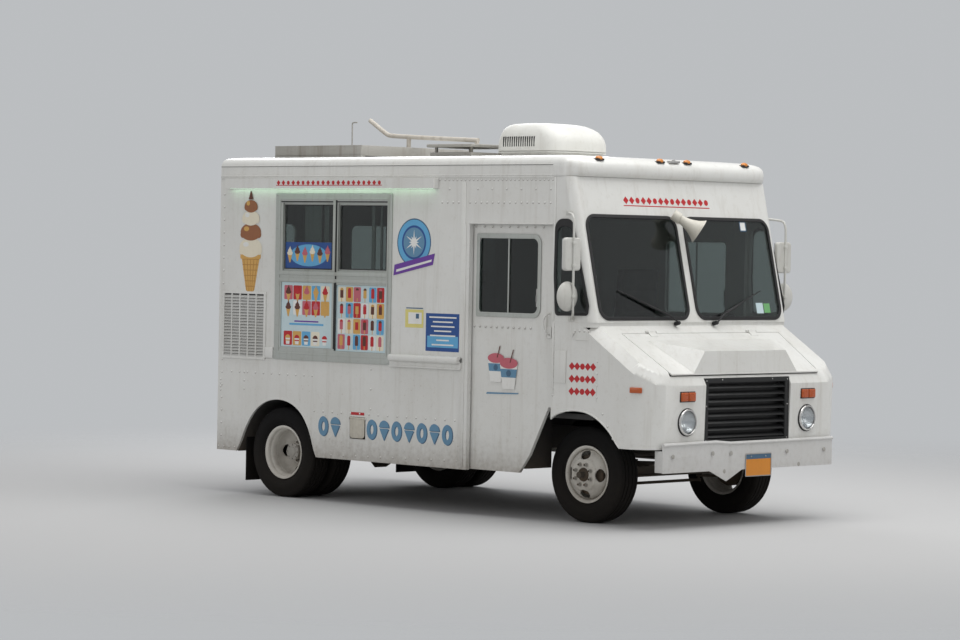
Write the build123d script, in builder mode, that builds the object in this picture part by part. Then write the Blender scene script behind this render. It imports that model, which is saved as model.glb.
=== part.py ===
from build123d import *
import os
from math import cos, pi, radians, sin, sqrt

# Ice cream truck on a forward-control step van chassis, in millimetres.
# X points forward, Y to the truck's left, Z up. The origin is on the ground,
# under the middle of the box that holds the whole truck.

# Driving sizes of the whole vehicle
wheelbase = 3175
front_overhang = 880        # front axle to the bumper's face
rear_overhang = 775         # rear axle to the body's rear face
step_reach = 150            # rear step beyond the body
body_width = 2340
cab_inset = 5               # each cab side inside the body side
wall = 40                   # body side, roof and rear wall
skirt_z = 355
floor_top_z = 840
floor_thickness = 40
eaves_z = 2640              # top of the side walls
roof_top_z = 2830
running_gap = 0.3           # between a pin and its eye
seat_gap = 0.3              # between a piece and what it sits on
bumper_back = 20            # bumper's face to the back of its plate

length = front_overhang + wheelbase + rear_overhang + step_reach
front_axle_x = length / 2 - front_overhang
rear_axle_x = front_axle_x - wheelbase
body_rear_x = rear_axle_x - rear_overhang
half_body = body_width / 2
half_cab = half_body - cab_inset
inner_side = half_body - wall
floor_low_z = floor_top_z - floor_thickness

os.makedirs("parts", exist_ok=True)


def keep(shape, name):
    """Labels a finished piece and writes it as its own STEP file."""
    shape.label = name
    export_step(shape, f"parts/{name}.step")


def block(x0, x1, y0, y1, z0, z1, mode=Mode.ADD):
    """A plain box between two corners, inside a BuildPart."""
    with Locations(((x0 + x1) / 2, (y0 + y1) / 2, (z0 + z1) / 2)):
        Box(x1 - x0, y1 - y0, z1 - z0, mode=mode)


def side_plate(points, y0, y1, radius=0, mode=Mode.ADD):
    """A plate with an outline of (x, z) points, between two distances from the middle plane."""
    with BuildSketch(Plane.XZ.offset(-y1)) as section:
        with BuildLine():
            Polyline(*points, close=True)
        make_face()
        if radius:
            fillet(section.vertices(), radius)
    extrude(section.sketch, amount=y1 - y0, mode=mode)


def cross_plate(points, x0, x1, radius=0, mode=Mode.ADD):
    """A plate with an outline of (y, z) points, between two stations along the truck."""
    with BuildSketch(Plane.YZ.offset(x0)) as section:
        with BuildLine():
            Polyline(*points, close=True)
        make_face()
        if radius:
            fillet(section.vertices(), radius)
    extrude(section.sketch, amount=x1 - x0, mode=mode)


def level_plate(points, z0, z1, radius=0, mode=Mode.ADD):
    """A plate with an outline of (x, y) points, between two heights."""
    with BuildSketch(Plane.XY.offset(z0)) as section:
        with BuildLine():
            Polyline(*points, close=True)
        make_face()
        if radius:
            fillet(section.vertices(), radius)
    extrude(section.sketch, amount=z1 - z0, mode=mode)


def rod(start, end, radius, mode=Mode.ADD):
    """A round bar between two points, for pins and running fits."""
    axis = Vector(*end) - Vector(*start)
    with BuildSketch(Plane(origin=start, z_dir=axis.normalized())) as section:
        Circle(radius)
    extrude(section.sketch, amount=axis.length, mode=mode)


def bar(start, end, radius, sides=8, mode=Mode.ADD):
    """A bar between two points with a many-sided section, its flats at the radius."""
    axis = Vector(*end) - Vector(*start)
    with BuildSketch(Plane(origin=start, z_dir=axis.normalized())) as section:
        RegularPolygon(radius, sides, major_radius=False)
    extrude(section.sketch, amount=axis.length, mode=mode)


def bent_bar(points, radius, sides=8):
    """A many-sided bar through several points, mitred at each bend."""
    with BuildLine() as path:
        Polyline(*points)
    start = path.line @ 0
    with BuildSketch(Plane(origin=start, z_dir=path.line % 0)) as section:
        RegularPolygon(radius, sides, major_radius=False)
    with BuildPart() as form:
        sweep(section.sketch, path=path.line, transition=Transition.RIGHT)
    return form.part


def flat_faced(outlines):
    """A closed form of flat faces through parallel outlines that have as many points each."""
    faces = [Face(Wire.make_polygon(outline, close=True)) for outline in (outlines[0], outlines[-1])]
    for low, high in zip(outlines, outlines[1:]):
        for i in range(len(low)):
            corners = (low[i - 1], low[i], high[i], high[i - 1])
            faces.append(Face(Wire.make_polygon(corners, close=True)))
    return Solid(Shell(faces))


def many_sided(plane, radius, sides):
    """Points of a regular outline in a plane, its flats at the radius, one of them square to the plane's x."""
    reach = radius / cos(pi / sides)
    turns = [pi * (2 * i + 1) / sides for i in range(sides)]
    return [plane.from_local_coords(Vector(reach * cos(turn), reach * sin(turn), 0)) for turn in turns]


def turned(stations, sides, mode=Mode.ADD):
    """A form round the Y axis in straight flats, through (y, radius) stations."""
    add(flat_faced([many_sided(Plane.XZ.offset(-y), radius, sides) for y, radius in stations]), mode=mode)


def ahead(points):
    """Points given from the front axle, turned into the truck's own frame."""
    return [(front_axle_x + x, z) for x, z in points]


def behind(points):
    """Points given from the rear axle, turned into the truck's own frame."""
    return [(rear_axle_x + x, z) for x, z in points]


def rectangle(a0, a1, b0, b1):
    return [(a0, b0), (a1, b0), (a1, b1), (a0, b1)]


def both_sides(shape):
    """The piece and its mirror image across the truck's middle plane."""
    return Compound(children=[shape, mirror(shape, about=Plane.XZ)])


# Tyres and wheels, in flats round the axle: twenty on rims and tyres, twelve on drums and hubs
wheel_sides = 20
drum_sides = 12
hub_sides = 12
tyre_radius = 371
tyre_half_width = 111
tread_half_width = 83
rim_width = 175             # over the flanges
flange_radius = 220
flange_run = 17.5           # flange's edge in to the bead seat
seat_radius = 203
rim_wall = 7
disc_offset = 127           # rim centreline to the mounting face
disc_thickness = 9
disc_face_radius = 120
disc_foot = 18              # rim centreline to the disc's foot
disc_shoulder = 34          # mounting face back to the disc's shoulder
shoulder_radius = 176
hub_hole_radius = 58
hand_hole_radius = 36
hand_hole_circle = 149
hand_hole_count = 4
front_flange_y = 892        # outer flange of the front wheels
rear_flange_y = 1123        # outer flange of the rear twin wheels
front_rim_y = front_flange_y - rim_width / 2
rear_rim_y = rear_flange_y - rim_width / 2
twin_spacing = 2 * disc_offset
drum_radius = 152
drum_wall = 12


def rim(centre):
    """A rim with a leaning flange at each edge."""
    edge = rim_width / 2
    turned([(centre - edge, flange_radius), (centre - edge + flange_run, seat_radius),
            (centre + edge - flange_run, seat_radius), (centre + edge, flange_radius)], wheel_sides)
    turned([(centre - edge - 1, seat_radius - rim_wall), (centre + edge + 1, seat_radius - rim_wall)], wheel_sides,
           Mode.SUBTRACT)


def disc(centre, facing):
    """The dished disc of one wheel, from its foot inside the rim to the mounting face."""
    foot = centre + facing * disc_foot
    face = centre + facing * disc_offset
    back = face - facing * disc_thickness
    with BuildPart() as form:
        turned([(foot, seat_radius - rim_wall + 1), (face - facing * disc_shoulder, shoulder_radius),
                (face, disc_face_radius)], wheel_sides)
        turned([(foot - facing, seat_radius - rim_wall - 10), (back - facing * disc_shoulder, shoulder_radius - 7),
                (back, disc_face_radius - 5)], wheel_sides, Mode.SUBTRACT)
        with BuildSketch(Plane.XZ) as holes:
            with PolarLocations(hand_hole_circle, hand_hole_count):
                RegularPolygon(hand_hole_radius, 10)
        extrude(holes.sketch, amount=-2000, mode=Mode.SUBTRACT)
    return form.part


def tyre(centre):
    """A road tyre: flat tread, leaning shoulders, upright walls and a groove down to the rim."""
    groove = 41
    seat = rim_width / 2 - flange_run - 0.5
    turned([(centre - tyre_half_width, 300), (centre - 104, 344), (centre - tread_half_width, tyre_radius),
            (centre + tread_half_width, tyre_radius), (centre + 104, 344), (centre + tyre_half_width, 300)], wheel_sides)
    turned([(centre - tyre_half_width - 1, 275.7), (centre - seat, seat_radius + seat_gap),
            (centre + seat, seat_radius + seat_gap), (centre + tyre_half_width + 1, 275.7)], wheel_sides, Mode.SUBTRACT)


# Front hub and its spindle
spindle_radius = 24
spindle_end_y = 985
hub_radius = 46
hub_end_y = 1000
front_face_y = front_rim_y + disc_offset
kingpin_y = 760

# Rear hub and its spindle
rear_spindle_radius = 38
rear_spindle_end_y = 985
rear_hub_radius = 52
rear_hub_end_y = 1032
rear_face_y = rear_rim_y - disc_offset


def axle_bore(radius, y0, y1):
    """The round bore that turns on a spindle."""
    with BuildSketch(Plane.XZ.offset(-y0)) as section:
        Circle(radius)
    extrude(section.sketch, amount=-(y1 - y0), mode=Mode.SUBTRACT)


def drum(y0, back_y0, back_y1):
    """A brake drum, open inwards, with the plate that closes it outwards."""
    with BuildPart() as form:
        turned([(y0, drum_radius), (back_y1, drum_radius)], drum_sides)
        turned([(y0 - 1, drum_radius - drum_wall), (back_y0, drum_radius - drum_wall)], drum_sides, Mode.SUBTRACT)
    return form.part


# Front wheel, left side, about its own axis: rim, disc, hub and drum
front_bore = spindle_radius + running_gap
front_back_y = front_face_y - disc_thickness
front_disc = disc(front_rim_y, 1)
front_drum = drum(800, front_back_y - 50, front_back_y - 38)
with BuildPart() as front_wheel:
    rim(front_rim_y)
    add(front_disc)
    add(front_drum)
    turned([(846, hub_hole_radius), (front_face_y, hub_hole_radius)], hub_sides)
    turned([(front_back_y, hub_radius), (hub_end_y, hub_radius)], hub_sides)
    axle_bore(front_bore, 700, hub_end_y - 8)

with BuildPart() as front_tyre:
    tyre(front_rim_y)

# Rear wheel pair, left side: two rims back to back on one hub, the drum inside the inner rim
rear_bore = rear_spindle_radius + running_gap
rear_discs = (disc(rear_rim_y, -1), disc(rear_rim_y - twin_spacing, 1))
rear_drum = drum(722, 838, 852)
with BuildPart() as rear_wheel:
    rim(rear_rim_y)
    rim(rear_rim_y - twin_spacing)
    for shape in rear_discs:
        add(shape)
    add(rear_drum)
    turned([(800, hub_hole_radius), (rear_face_y + 30, hub_hole_radius)], hub_sides)
    turned([(rear_face_y, rear_hub_radius), (rear_hub_end_y, rear_hub_radius)], hub_sides)
    turned([(rear_hub_end_y - 14, rear_hub_radius + 18), (rear_hub_end_y - 2, rear_hub_radius + 18)], hub_sides)
    axle_bore(rear_bore, 700, rear_hub_end_y - 18)

with BuildPart() as rear_tyres:
    tyre(rear_rim_y)
    tyre(rear_rim_y - twin_spacing)

front_axle = Location((front_axle_x, 0, tyre_radius))
rear_axle_place = Location((rear_axle_x, 0, tyre_radius))
for side, flip in (("left", False), ("right", True)):
    for name, shape, place in (
        (f"wheel_front_{side}", front_wheel.part, front_axle),
        (f"tyre_front_{side}", front_tyre.part, front_axle),
        (f"wheels_rear_{side}", rear_wheel.part, rear_axle_place),
        (f"tyres_rear_{side}", rear_tyres.part, rear_axle_place),
    ):
        placed = shape.moved(place)
        keep(mirror(placed, about=Plane.XZ) if flip else placed, name)

# Ladder frame
rail_outer_y = 430
rail_width = 60
rail_plate = 8
rail_low_z = 520
rail_top_z = 700
rail_front_x = front_axle_x + 755
rail_rear_x = body_rear_x + 60
crossmember_xs = [front_axle_x + 560, front_axle_x - 1120, rear_axle_x + 760, rear_axle_x - 560, rail_rear_x + 40]
bearer_xs = [front_axle_x - 1080, front_axle_x - 1500, rear_axle_x + 560, rear_axle_x - 480]

with BuildPart() as frame:
    for side in (-1, 1):
        outer, inner = side * rail_outer_y, side * (rail_outer_y - rail_width)
        web = side * (rail_outer_y - rail_plate)
        block(rail_rear_x, rail_front_x, min(outer, web), max(outer, web), rail_low_z, rail_top_z)
        for z0, z1 in ((rail_low_z, rail_low_z + rail_plate), (rail_top_z - rail_plate, rail_top_z)):
            block(rail_rear_x, rail_front_x, min(outer, inner), max(outer, inner), z0, z1)
        block(rail_front_x - 60, front_axle_x + front_overhang - bumper_back - seat_gap, min(outer, inner), max(outer, inner), 500, 590)
    for x in crossmember_xs:
        block(x - 30, x + 30, -rail_outer_y + 4, rail_outer_y - 4, rail_top_z - 62, rail_top_z - 4)
    for x in bearer_xs:
        block(x - 25, x + 25, -1060, 1060, rail_top_z - 0.5, floor_low_z)
    block(front_axle_x - 30, front_axle_x + 30, -260, 260, rail_low_z - 28, rail_low_z - 4)
    for side in (-1, 1):
        block(front_axle_x - 30, front_axle_x + 30, side * 340 - 90, side * 340 + 90, rail_low_z - 28, rail_low_z + 1)

# Front axle beam with a kingpin standing in each end
kingpin_radius = 16
eye_radius = 32
eye_half = 40
ear_height = 30
beam_half_x = 34
beam_half_z = 40
front_spring_y = 398

with BuildPart() as front_beam:
    with BuildSketch(Plane.XZ.offset(-700)):
        with Locations((front_axle_x, tyre_radius)):
            Rectangle(2 * beam_half_x, 2 * beam_half_z)
            for shift in (-1, 1):
                with Locations((shift * (beam_half_x + 1), 0)):
                    Rectangle(2 * (beam_half_x - 9), 2 * (beam_half_z - 14), mode=Mode.SUBTRACT)
    extrude(amount=1400)
    for side in (-1, 1):
        block(front_axle_x - 24, front_axle_x + 24, min(side * 690, side * kingpin_y),
              max(side * 690, side * kingpin_y), tyre_radius - 30, tyre_radius + 30)
        bar((front_axle_x, side * kingpin_y, tyre_radius - eye_half), (front_axle_x, side * kingpin_y, tyre_radius + eye_half),
            eye_radius)
        bar((front_axle_x, side * kingpin_y, tyre_radius - eye_half - ear_height - 7),
            (front_axle_x, side * kingpin_y, tyre_radius + eye_half + ear_height + 7), 0.96 * kingpin_radius, hub_sides)
        block(front_axle_x - 60, front_axle_x + 60, side * front_spring_y - 35, side * front_spring_y + 35,
              tyre_radius + beam_half_z - 1, tyre_radius + beam_half_z + 12)
keep(front_beam.part, "front_axle")

# Steering knuckles, each with two ears round the kingpin, a spindle and a steering arm
arm_x = -170
arm_y = 632
arm_z = tyre_radius - eye_half - ear_height + 6
ball_radius = 9


rod_z = arm_z - 44            # tie rod's centre line
socket_half = 12


def knuckle(stud_low_z):
    """A left knuckle whose ball stud hangs down to a height."""
    with BuildPart() as part:
        ear_gap = 2
        for z in (eye_half + ear_gap + ear_height / 2, -eye_half - ear_gap - ear_height / 2):
            with BuildSketch(Plane.XY.offset(tyre_radius + z - ear_height / 2)):
                with Locations((0, kingpin_y)):
                    RegularPolygon(eye_radius, 8, major_radius=False, rotation=22.5)
                with Locations((0, kingpin_y + 25)):
                    Rectangle(2 * eye_radius, 50)
                with Locations((0, kingpin_y)):
                    Circle(kingpin_radius + running_gap, mode=Mode.SUBTRACT)
            extrude(amount=ear_height)
        reach = eye_half + ear_gap + ear_height
        block(-46, 46, kingpin_y + eye_radius + 6, kingpin_y + 62, tyre_radius - reach, tyre_radius + reach)
        bar((0, kingpin_y + 60, tyre_radius), (0, spindle_end_y, tyre_radius), 0.96 * spindle_radius, hub_sides)
        with BuildSketch(Plane.XY.offset(arm_z - 20)):
            with BuildLine():
                Polyline((-20, kingpin_y + 5), (-20, kingpin_y + 45), (-44, kingpin_y + 45),
                         (arm_x - 14, arm_y + 16), (arm_x - 14, arm_y - 16), (arm_x + 14, arm_y - 16), close=True)
            make_face()
        extrude(amount=16)
        rod((arm_x, arm_y, stud_low_z), (arm_x, arm_y, arm_z - 18), ball_radius)
    return part.part.moved(Location((front_axle_x, 0, 0)))


# The right stud turns in the tie rod's socket; the left one stops just above its socket,
# because the rod's left end drifts a little from it as the wheels steer
keep(knuckle(rod_z + socket_half + 1), "knuckle_left")
keep(mirror(knuckle(rod_z - socket_half), about=Plane.XZ), "knuckle_right")

# Tie rod between the two steering arms
with BuildPart() as tie_rod:
    bar((front_axle_x + arm_x, -arm_y + 14, rod_z), (front_axle_x + arm_x, arm_y - 14, rod_z), 11)
    for side in (-1, 1):
        bar((front_axle_x + arm_x, side * arm_y, rod_z - socket_half),
            (front_axle_x + arm_x, side * arm_y, rod_z + socket_half), 18)
    rod((front_axle_x + arm_x, -arm_y, rod_z - 20), (front_axle_x + arm_x, -arm_y, rod_z + 20),
        ball_radius + running_gap, Mode.SUBTRACT)
keep(tie_rod.part, "tie_rod")

# Rear axle: tubes, banjo housing and hub spindles
tube_radius = 48
with BuildPart() as rear_axle:
    with BuildSketch(Plane.XZ.offset(-700)) as tubes:
        with Locations((rear_axle_x, tyre_radius)):
            RegularPolygon(tube_radius, hub_sides, major_radius=False, rotation=15)
    extrude(tubes.sketch, amount=1400)
    bar((rear_axle_x, -rear_spindle_end_y, tyre_radius), (rear_axle_x, rear_spindle_end_y, tyre_radius),
        0.96 * rear_spindle_radius, hub_sides)
    housing = ((-120, 0, 80), (0, 0, 165), (120, 0, 110), (260, 10, 52))     # station, rise, radius
    add(flat_faced([many_sided(Plane.YZ.offset(rear_axle_x + x).shift_origin((rear_axle_x + x, 0, tyre_radius + rise)),
                               radius, 8) for x, rise, radius in housing]))

# Leaf springs with their hangers, front pair under the rails and rear pair outside them
rear_spring_y = 502
spring_width = 64


def leaf_spring(axle_x, y, half_span, seat_z, eye_z, hanger_y0, hanger_y1):
    """One pack: a long leaf bowed up at both ends, two shorter leaves under it, eyes and hangers."""
    for share, layer in ((1.0, 0), (0.68, 1), (0.4, 2)):
        reach = half_span * share
        rise = (eye_z - seat_z) * share * share
        low = seat_z + 24 - layer * 12
        bow = [(t, low + rise * t * t) for t in (-1, -0.55, 0, 0.55, 1)]
        side_plate([(axle_x + t * reach, z) for t, z in bow] +
                   [(axle_x + t * reach, z + 12.5) for t, z in reversed(bow)],
                   y - spring_width / 2, y + spring_width / 2)
    block(axle_x - 55, axle_x + 55, y - spring_width / 2, y + spring_width / 2, seat_z, seat_z + 52)
    for end in (-1, 1):
        x = axle_x + end * half_span
        z = eye_z + 30
        bar((x, y - spring_width / 2, z), (x, y + spring_width / 2, z), 20, 6)
        block(x - 32, x + 32, hanger_y0, hanger_y1, z - 10, rail_low_z + 60)


with BuildPart() as springs:
    seat = tyre_radius + beam_half_z + 12
    for side in (-1, 1):
        leaf_spring(front_axle_x, side * front_spring_y, 560, seat, rail_low_z - 34 - 26,
                    side * front_spring_y - 30, side * front_spring_y + 30)
with BuildPart() as springs_cut:
    add(springs.part)
    block(-3000, 3000, -600, 600, rail_low_z, 2000, mode=Mode.SUBTRACT)
with BuildPart() as rear_springs:
    for side in (-1, 1):
        inner, outer = side * rail_outer_y, side * (rear_spring_y + 32)
        leaf_spring(rear_axle_x, side * rear_spring_y, 640, tyre_radius + tube_radius - 6, rail_low_z - 40,
                    min(inner, outer), max(inner, outer))
with BuildPart() as all_springs:
    add(springs_cut.part)
    add(rear_springs.part)
    with BuildSketch(Plane.XZ.offset(-700)) as tubes:
        with Locations((rear_axle_x, tyre_radius)):
            RegularPolygon(tube_radius, hub_sides, major_radius=False, rotation=15)
    extrude(tubes.sketch, amount=1400, mode=Mode.SUBTRACT)
keep(all_springs.part, "leaf_springs")

# Outlines of the body sides as (x, z): doors and front arches given from the front axle,
# rear arch, serving window and fuel flap from the rear axle
post_x = -136               # front post seam, where the cab shell starts
door_rear_x = -1022
door_head_z = 2270
rear_arch = [(-531, skirt_z), (-478, 438), (-417, 571), (-313, 705), (-187, 783), (-29, 815), (129, 790), (255, 718),
             (341, 609), (385, 513), (418, 416), (450, skirt_z)]
front_arch = [(-342, 518), (-280, 599), (-219, 692), (-157, 777), (-84, 827), (-1, 854), (83, 866),
              (197, 863), (281, 841), (364, 799), (437, 745), (490, 694), (527, 643), (563, 607)]
window_x0, window_x1 = -37, 1270
window_z0, window_z1 = 1205, 2465
flap_x0, flap_x1 = 844, 1014
flap_z0, flap_z1 = 535, 704
flap_gap = 6
side_outline = [(body_rear_x, skirt_z)] + behind(rear_arch) + ahead(
    [(door_rear_x, skirt_z), (door_rear_x, door_head_z), (post_x, door_head_z), (post_x, eaves_z)]
) + [(body_rear_x, eaves_z)]

with BuildPart() as left_wall:
    side_plate(side_outline, inner_side, half_body)
with BuildPart() as right_wall:
    add(mirror(left_wall.part, about=Plane.XZ))
    side_plate(behind(rectangle(window_x0, window_x1, window_z0, window_z1)), -half_body - 1, -inner_side + 1,
               mode=Mode.SUBTRACT)
    side_plate(behind(rectangle(flap_x0 - flap_gap, flap_x1 + flap_gap, flap_z0 - flap_gap, flap_z1 + 3)),
               -half_body - 1, -inner_side + 1, mode=Mode.SUBTRACT)

# Roof with rolled eaves and a rounded brow over the windscreen
brow_x = front_axle_x + 60
cove = [(half_body, eaves_z + seat_gap), (half_body, 2742), (half_body - 14, 2768), (half_body - 46, 2792),
        (half_body - 110, 2806), (600, 2822), (0, roof_top_z)]


def roof_form(inset):
    """Solid form of the roof, drawn in by inset on every face but the lowest."""
    section = [(max(y - inset, 0), z - (inset if z > eaves_z + 1 else 0)) for y, z in cove]
    with BuildPart() as form:
        cross_plate(section + [(-y, z) for y, z in reversed(section[:-1])], body_rear_x + inset, brow_x - inset)
        level_plate([(body_rear_x - 1, half_body + 1), (body_rear_x - 1, -half_body - 1),
                     (brow_x - 150 - inset, -half_body - 1), (brow_x - 44 - inset, -half_body + 44 + inset),
                     (brow_x - inset, -half_body + 150 + inset), (brow_x - inset, half_body - 150 - inset),
                     (brow_x - 44 - inset, half_body - 44 - inset), (brow_x - 150 - inset, half_body + 1)],
                    2600, 2900, mode=Mode.INTERSECT)
        side_plate([(body_rear_x - 1, 2600), (brow_x - 70, 2600), (brow_x - 70, 2654), (brow_x - inset, 2690),
                    (brow_x - inset, 2722), (brow_x - 30 - inset, 2764 - inset), (brow_x - 118 - inset, 2796 - inset),
                    (brow_x - 300, 2900), (body_rear_x - 1, 2900)], -1300, 1300, mode=Mode.INTERSECT)
    return form.part


with BuildPart() as roof:
    add(roof_form(0))
    add(roof_form(34), mode=Mode.SUBTRACT)
keep(roof.part, "roof")

# Cab shell: raked windscreen frame with its pillars and the quarter windows behind them
rake = 0.231
screen_z0 = 1537
screen_x0 = front_axle_x + 289
cab_wall = 40


def screen_x(z):
    return screen_x0 - rake * (z - screen_z0)


def cab_form(inset):
    with BuildPart() as form:
        side_plate([(front_axle_x + post_x, screen_z0), (screen_x(screen_z0) - inset, screen_z0),
                    (screen_x(eaves_z) - inset, eaves_z), (front_axle_x + post_x, eaves_z)],
                   -half_cab + inset, half_cab - inset)
        corners = form.edges().filter_by(lambda e: abs(e.tangent_at(0.5).Z) > 0.9)
        corners = corners.filter_by(lambda e: e.center().X > front_axle_x)
        fillet(corners, 70 - inset)
    return form.part


screen_plane = Plane(origin=(screen_x0, 0, screen_z0), x_dir=(0, 1, 0), z_dir=(1, 0, rake))
pane_y0, pane_y1 = 46, half_cab - 83
pane_s0, pane_s1 = 26, 832
pane_radius = 95
quarter = [(-116, 2185), (-109, 2273), (-25, 2318), (70, 2275), (107, 2138), (181, 1889), (242, 1666),
           (230, 1591), (-101, 1582), (-125, 1883)]
quarter_inner = [(-96, 2185), (-90, 2258), (-25, 2295), (52, 2262), (86, 2133), (160, 1884), (220, 1662),
                 (212, 1611), (-82, 1602), (-104, 1883)]


def pane(grow, low, high, mode=Mode.ADD):
    """Both windscreen panes, grown by some millimetres, between two depths of the raked plane."""
    with BuildSketch(screen_plane.offset(low)) as section:
        for side in (-1, 1):
            with Locations((side * (pane_y0 + pane_y1) / 2, (pane_s0 + pane_s1) / 2)):
                RectangleRounded(pane_y1 - pane_y0 + 2 * grow, pane_s1 - pane_s0 + 2 * grow, pane_radius + grow)
    extrude(section.sketch, amount=high - low, mode=mode)


with BuildPart() as cab:
    add(cab_form(0))
    with BuildPart(mode=Mode.PRIVATE) as cab_void:
        add(cab_form(cab_wall))
    add(cab_void.part, mode=Mode.SUBTRACT)
    pane(0, -60, 20, mode=Mode.SUBTRACT)
    side_plate(ahead(quarter_inner), -half_cab - 1, half_cab + 1, mode=Mode.SUBTRACT)
    block(front_axle_x + post_x - 1, brow_x + 100, -1300, 1300, eaves_z - seat_gap, eaves_z + 40, mode=Mode.SUBTRACT)
keep(cab.part, "cab_shell")

gasket_depth = 8
with BuildPart() as gaskets:
    pane(10, seat_gap, gasket_depth)
    pane(-26, seat_gap - 1, gasket_depth + 1, mode=Mode.SUBTRACT)
with BuildPart() as quarter_gasket:
    side_plate(ahead(quarter), half_cab + seat_gap, half_cab + gasket_depth)
    side_plate(ahead([(x * 0.8 + 8, 1950 + (z - 1950) * 0.91) for x, z in quarter]), half_cab - 1,
               half_cab + gasket_depth + 1, mode=Mode.SUBTRACT)
keep(Compound(children=[gaskets.part, quarter_gasket.part, mirror(quarter_gasket.part, about=Plane.XZ)]),
     "window_gaskets")
with BuildPart() as screen:
    pane(-seat_gap, -6, 0)
with BuildPart() as quarter_glass:
    centre_x, centre_z = 45, 1940
    side_plate(ahead([(centre_x + (x - centre_x) * 0.998, centre_z + (z - centre_z) * 0.999)
                      for x, z in quarter_inner]), half_cab - 6, half_cab)
keep(Compound(children=[screen.part, quarter_glass.part, mirror(quarter_glass.part, about=Plane.XZ)]), "cab_glass")

# Nose: a hollow sheet form with rolled sides, open below and behind
nose_wall = 14
nose_rear_x = front_axle_x + post_x
nose_top_x = front_axle_x + 244
nose_top_z = screen_z0 - seat_gap
face_x = front_axle_x + 836
lip_x = front_axle_x + 851
lip_z = 1150
nose_low_z = 607
nose_slope = (nose_top_z - lip_z) / (lip_x - nose_top_x)


def nose_z(x):
    """Height of the sloping top plane."""
    return nose_top_z - (x - nose_top_x) * nose_slope


def nose_form(inset):
    drop = inset * sqrt(1 + nose_slope ** 2)
    with BuildPart() as form:
        side_plate([(nose_rear_x - (1 if inset else 0), nose_low_z - 300), (face_x - inset, nose_low_z - 300),
                    (face_x - inset, nose_low_z), (lip_x - inset, nose_z(lip_x - inset) - drop),
                    (nose_top_x - inset * 0.3, nose_top_z - inset),
                    (nose_rear_x - (1 if inset else 0), nose_top_z - inset)],
                   -half_cab + inset, half_cab - inset)
        uprights = form.edges().filter_by(lambda e: abs(e.tangent_at(0.5).Z) > 0.95)
        fillet(uprights.filter_by(lambda e: e.center().X > front_axle_x + 700), 200 - inset)
        slopes = form.edges().filter_by(lambda e: abs(e.center().Y) > half_cab - inset - 1)
        slopes = slopes.filter_by(lambda e: e.center().Z > 1200)
        slopes = slopes.filter_by(lambda e: 0.3 < abs(e.tangent_at(0.5).Z) < 0.9)
        chamfer(slopes, 70 - inset * 0.5)
        block(nose_rear_x - 10, lip_x + 10, -1300, 1300, 0, nose_low_z, mode=Mode.SUBTRACT)
    return form.part


hood_y0, hood_y1 = half_cab - 232, half_cab - 286
hood_x0, hood_x1 = front_axle_x + 371, front_axle_x + 822
hood_edge = 6
grille_half = 508
grille_z0, grille_z1 = 640, 1132
lamp_y, lamp_z, lamp_radius = half_cab - 448, 806, 100
turn_y, turn_z, turn_width, turn_height = half_cab - 444, 997, 175, 80

hinge_x = hood_x0 - 2
hinge_z = nose_z(hinge_x) + 12
hood_hinge_y = 600
liner_inner_y = 560
with BuildPart() as nose:
    add(nose_form(0))
    add(nose_form(nose_wall), mode=Mode.SUBTRACT)
    side_plate(ahead([(-600, 0), (-600, 518)] + front_arch + [(563, 0)]), -1300, 1300, mode=Mode.SUBTRACT)
    level_plate([(hood_x0 - hood_edge, -hood_y0 - hood_edge), (hood_x1 + hood_edge, -hood_y1 - hood_edge),
                 (hood_x1 + hood_edge, hood_y1 + hood_edge), (hood_x0 - hood_edge, hood_y0 + hood_edge)],
                1150, 1700, mode=Mode.SUBTRACT)
    block(nose_rear_x - 1, front_axle_x + 230, -half_cab + nose_wall, half_cab - nose_wall, 1400, 1600, mode=Mode.SUBTRACT)
    cross_plate(rectangle(-grille_half - seat_gap, grille_half + seat_gap, grille_z0 - seat_gap, grille_z1 + seat_gap), face_x - 60, face_x + 60,
                mode=Mode.SUBTRACT)
    for side in (-1, 1):
        with BuildSketch(Plane.YZ.offset(face_x - 60)) as lamp_hole:
            with Locations((side * lamp_y, lamp_z)):
                RegularPolygon(lamp_radius - 6, 12)
            with Locations((side * turn_y, turn_z)):
                Rectangle(turn_width - 20, turn_height - 20)
        extrude(lamp_hole.sketch, amount=120, mode=Mode.SUBTRACT)
    liner = [(230, 858)] + [point for point in front_arch if point[0] > 230]
    for side in (-1, 1):
        y0, y1 = sorted((side * liner_inner_y, side * (half_cab - nose_wall + 1)))
        side_plate(ahead(liner + [(x + 4, z + 4) for x, z in reversed(liner)]), y0, y1)
    for side in (-1, 1):
        for end in (-1, 1):
            y = side * hood_hinge_y + end * 50
            block(hinge_x - 14, hinge_x + 5, y - 8, y + 8, nose_z(hinge_x - 14) - 6, hinge_z + 7)
        bar((hinge_x, side * hood_hinge_y - 50, hinge_z), (hinge_x, side * hood_hinge_y + 50, hinge_z), 3.8, 12)
keep(nose.part, "nose")

# Hood: a sheet in the sloping plane with a wedge-shaped bulge
hood_wall = 10


def hood_plane_plate(x0, x1, y0, y1, depth, top=0):
    """A sheet lying in the sloping top plane, cut to a plan outline."""
    with BuildPart() as plate:
        side_plate([(x0 - 20, nose_z(x0 - 20) + top), (x1 + 20, nose_z(x1 + 20) + top),
                    (x1 + 20, nose_z(x1 + 20) + top - depth), (x0 - 20, nose_z(x0 - 20) + top - depth)],
                   -1300, 1300)
        level_plate([(x0, -y0), (x1, -y1), (x1, y1), (x0, y0)], 900, 1900, mode=Mode.INTERSECT)
    return plate.part


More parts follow.
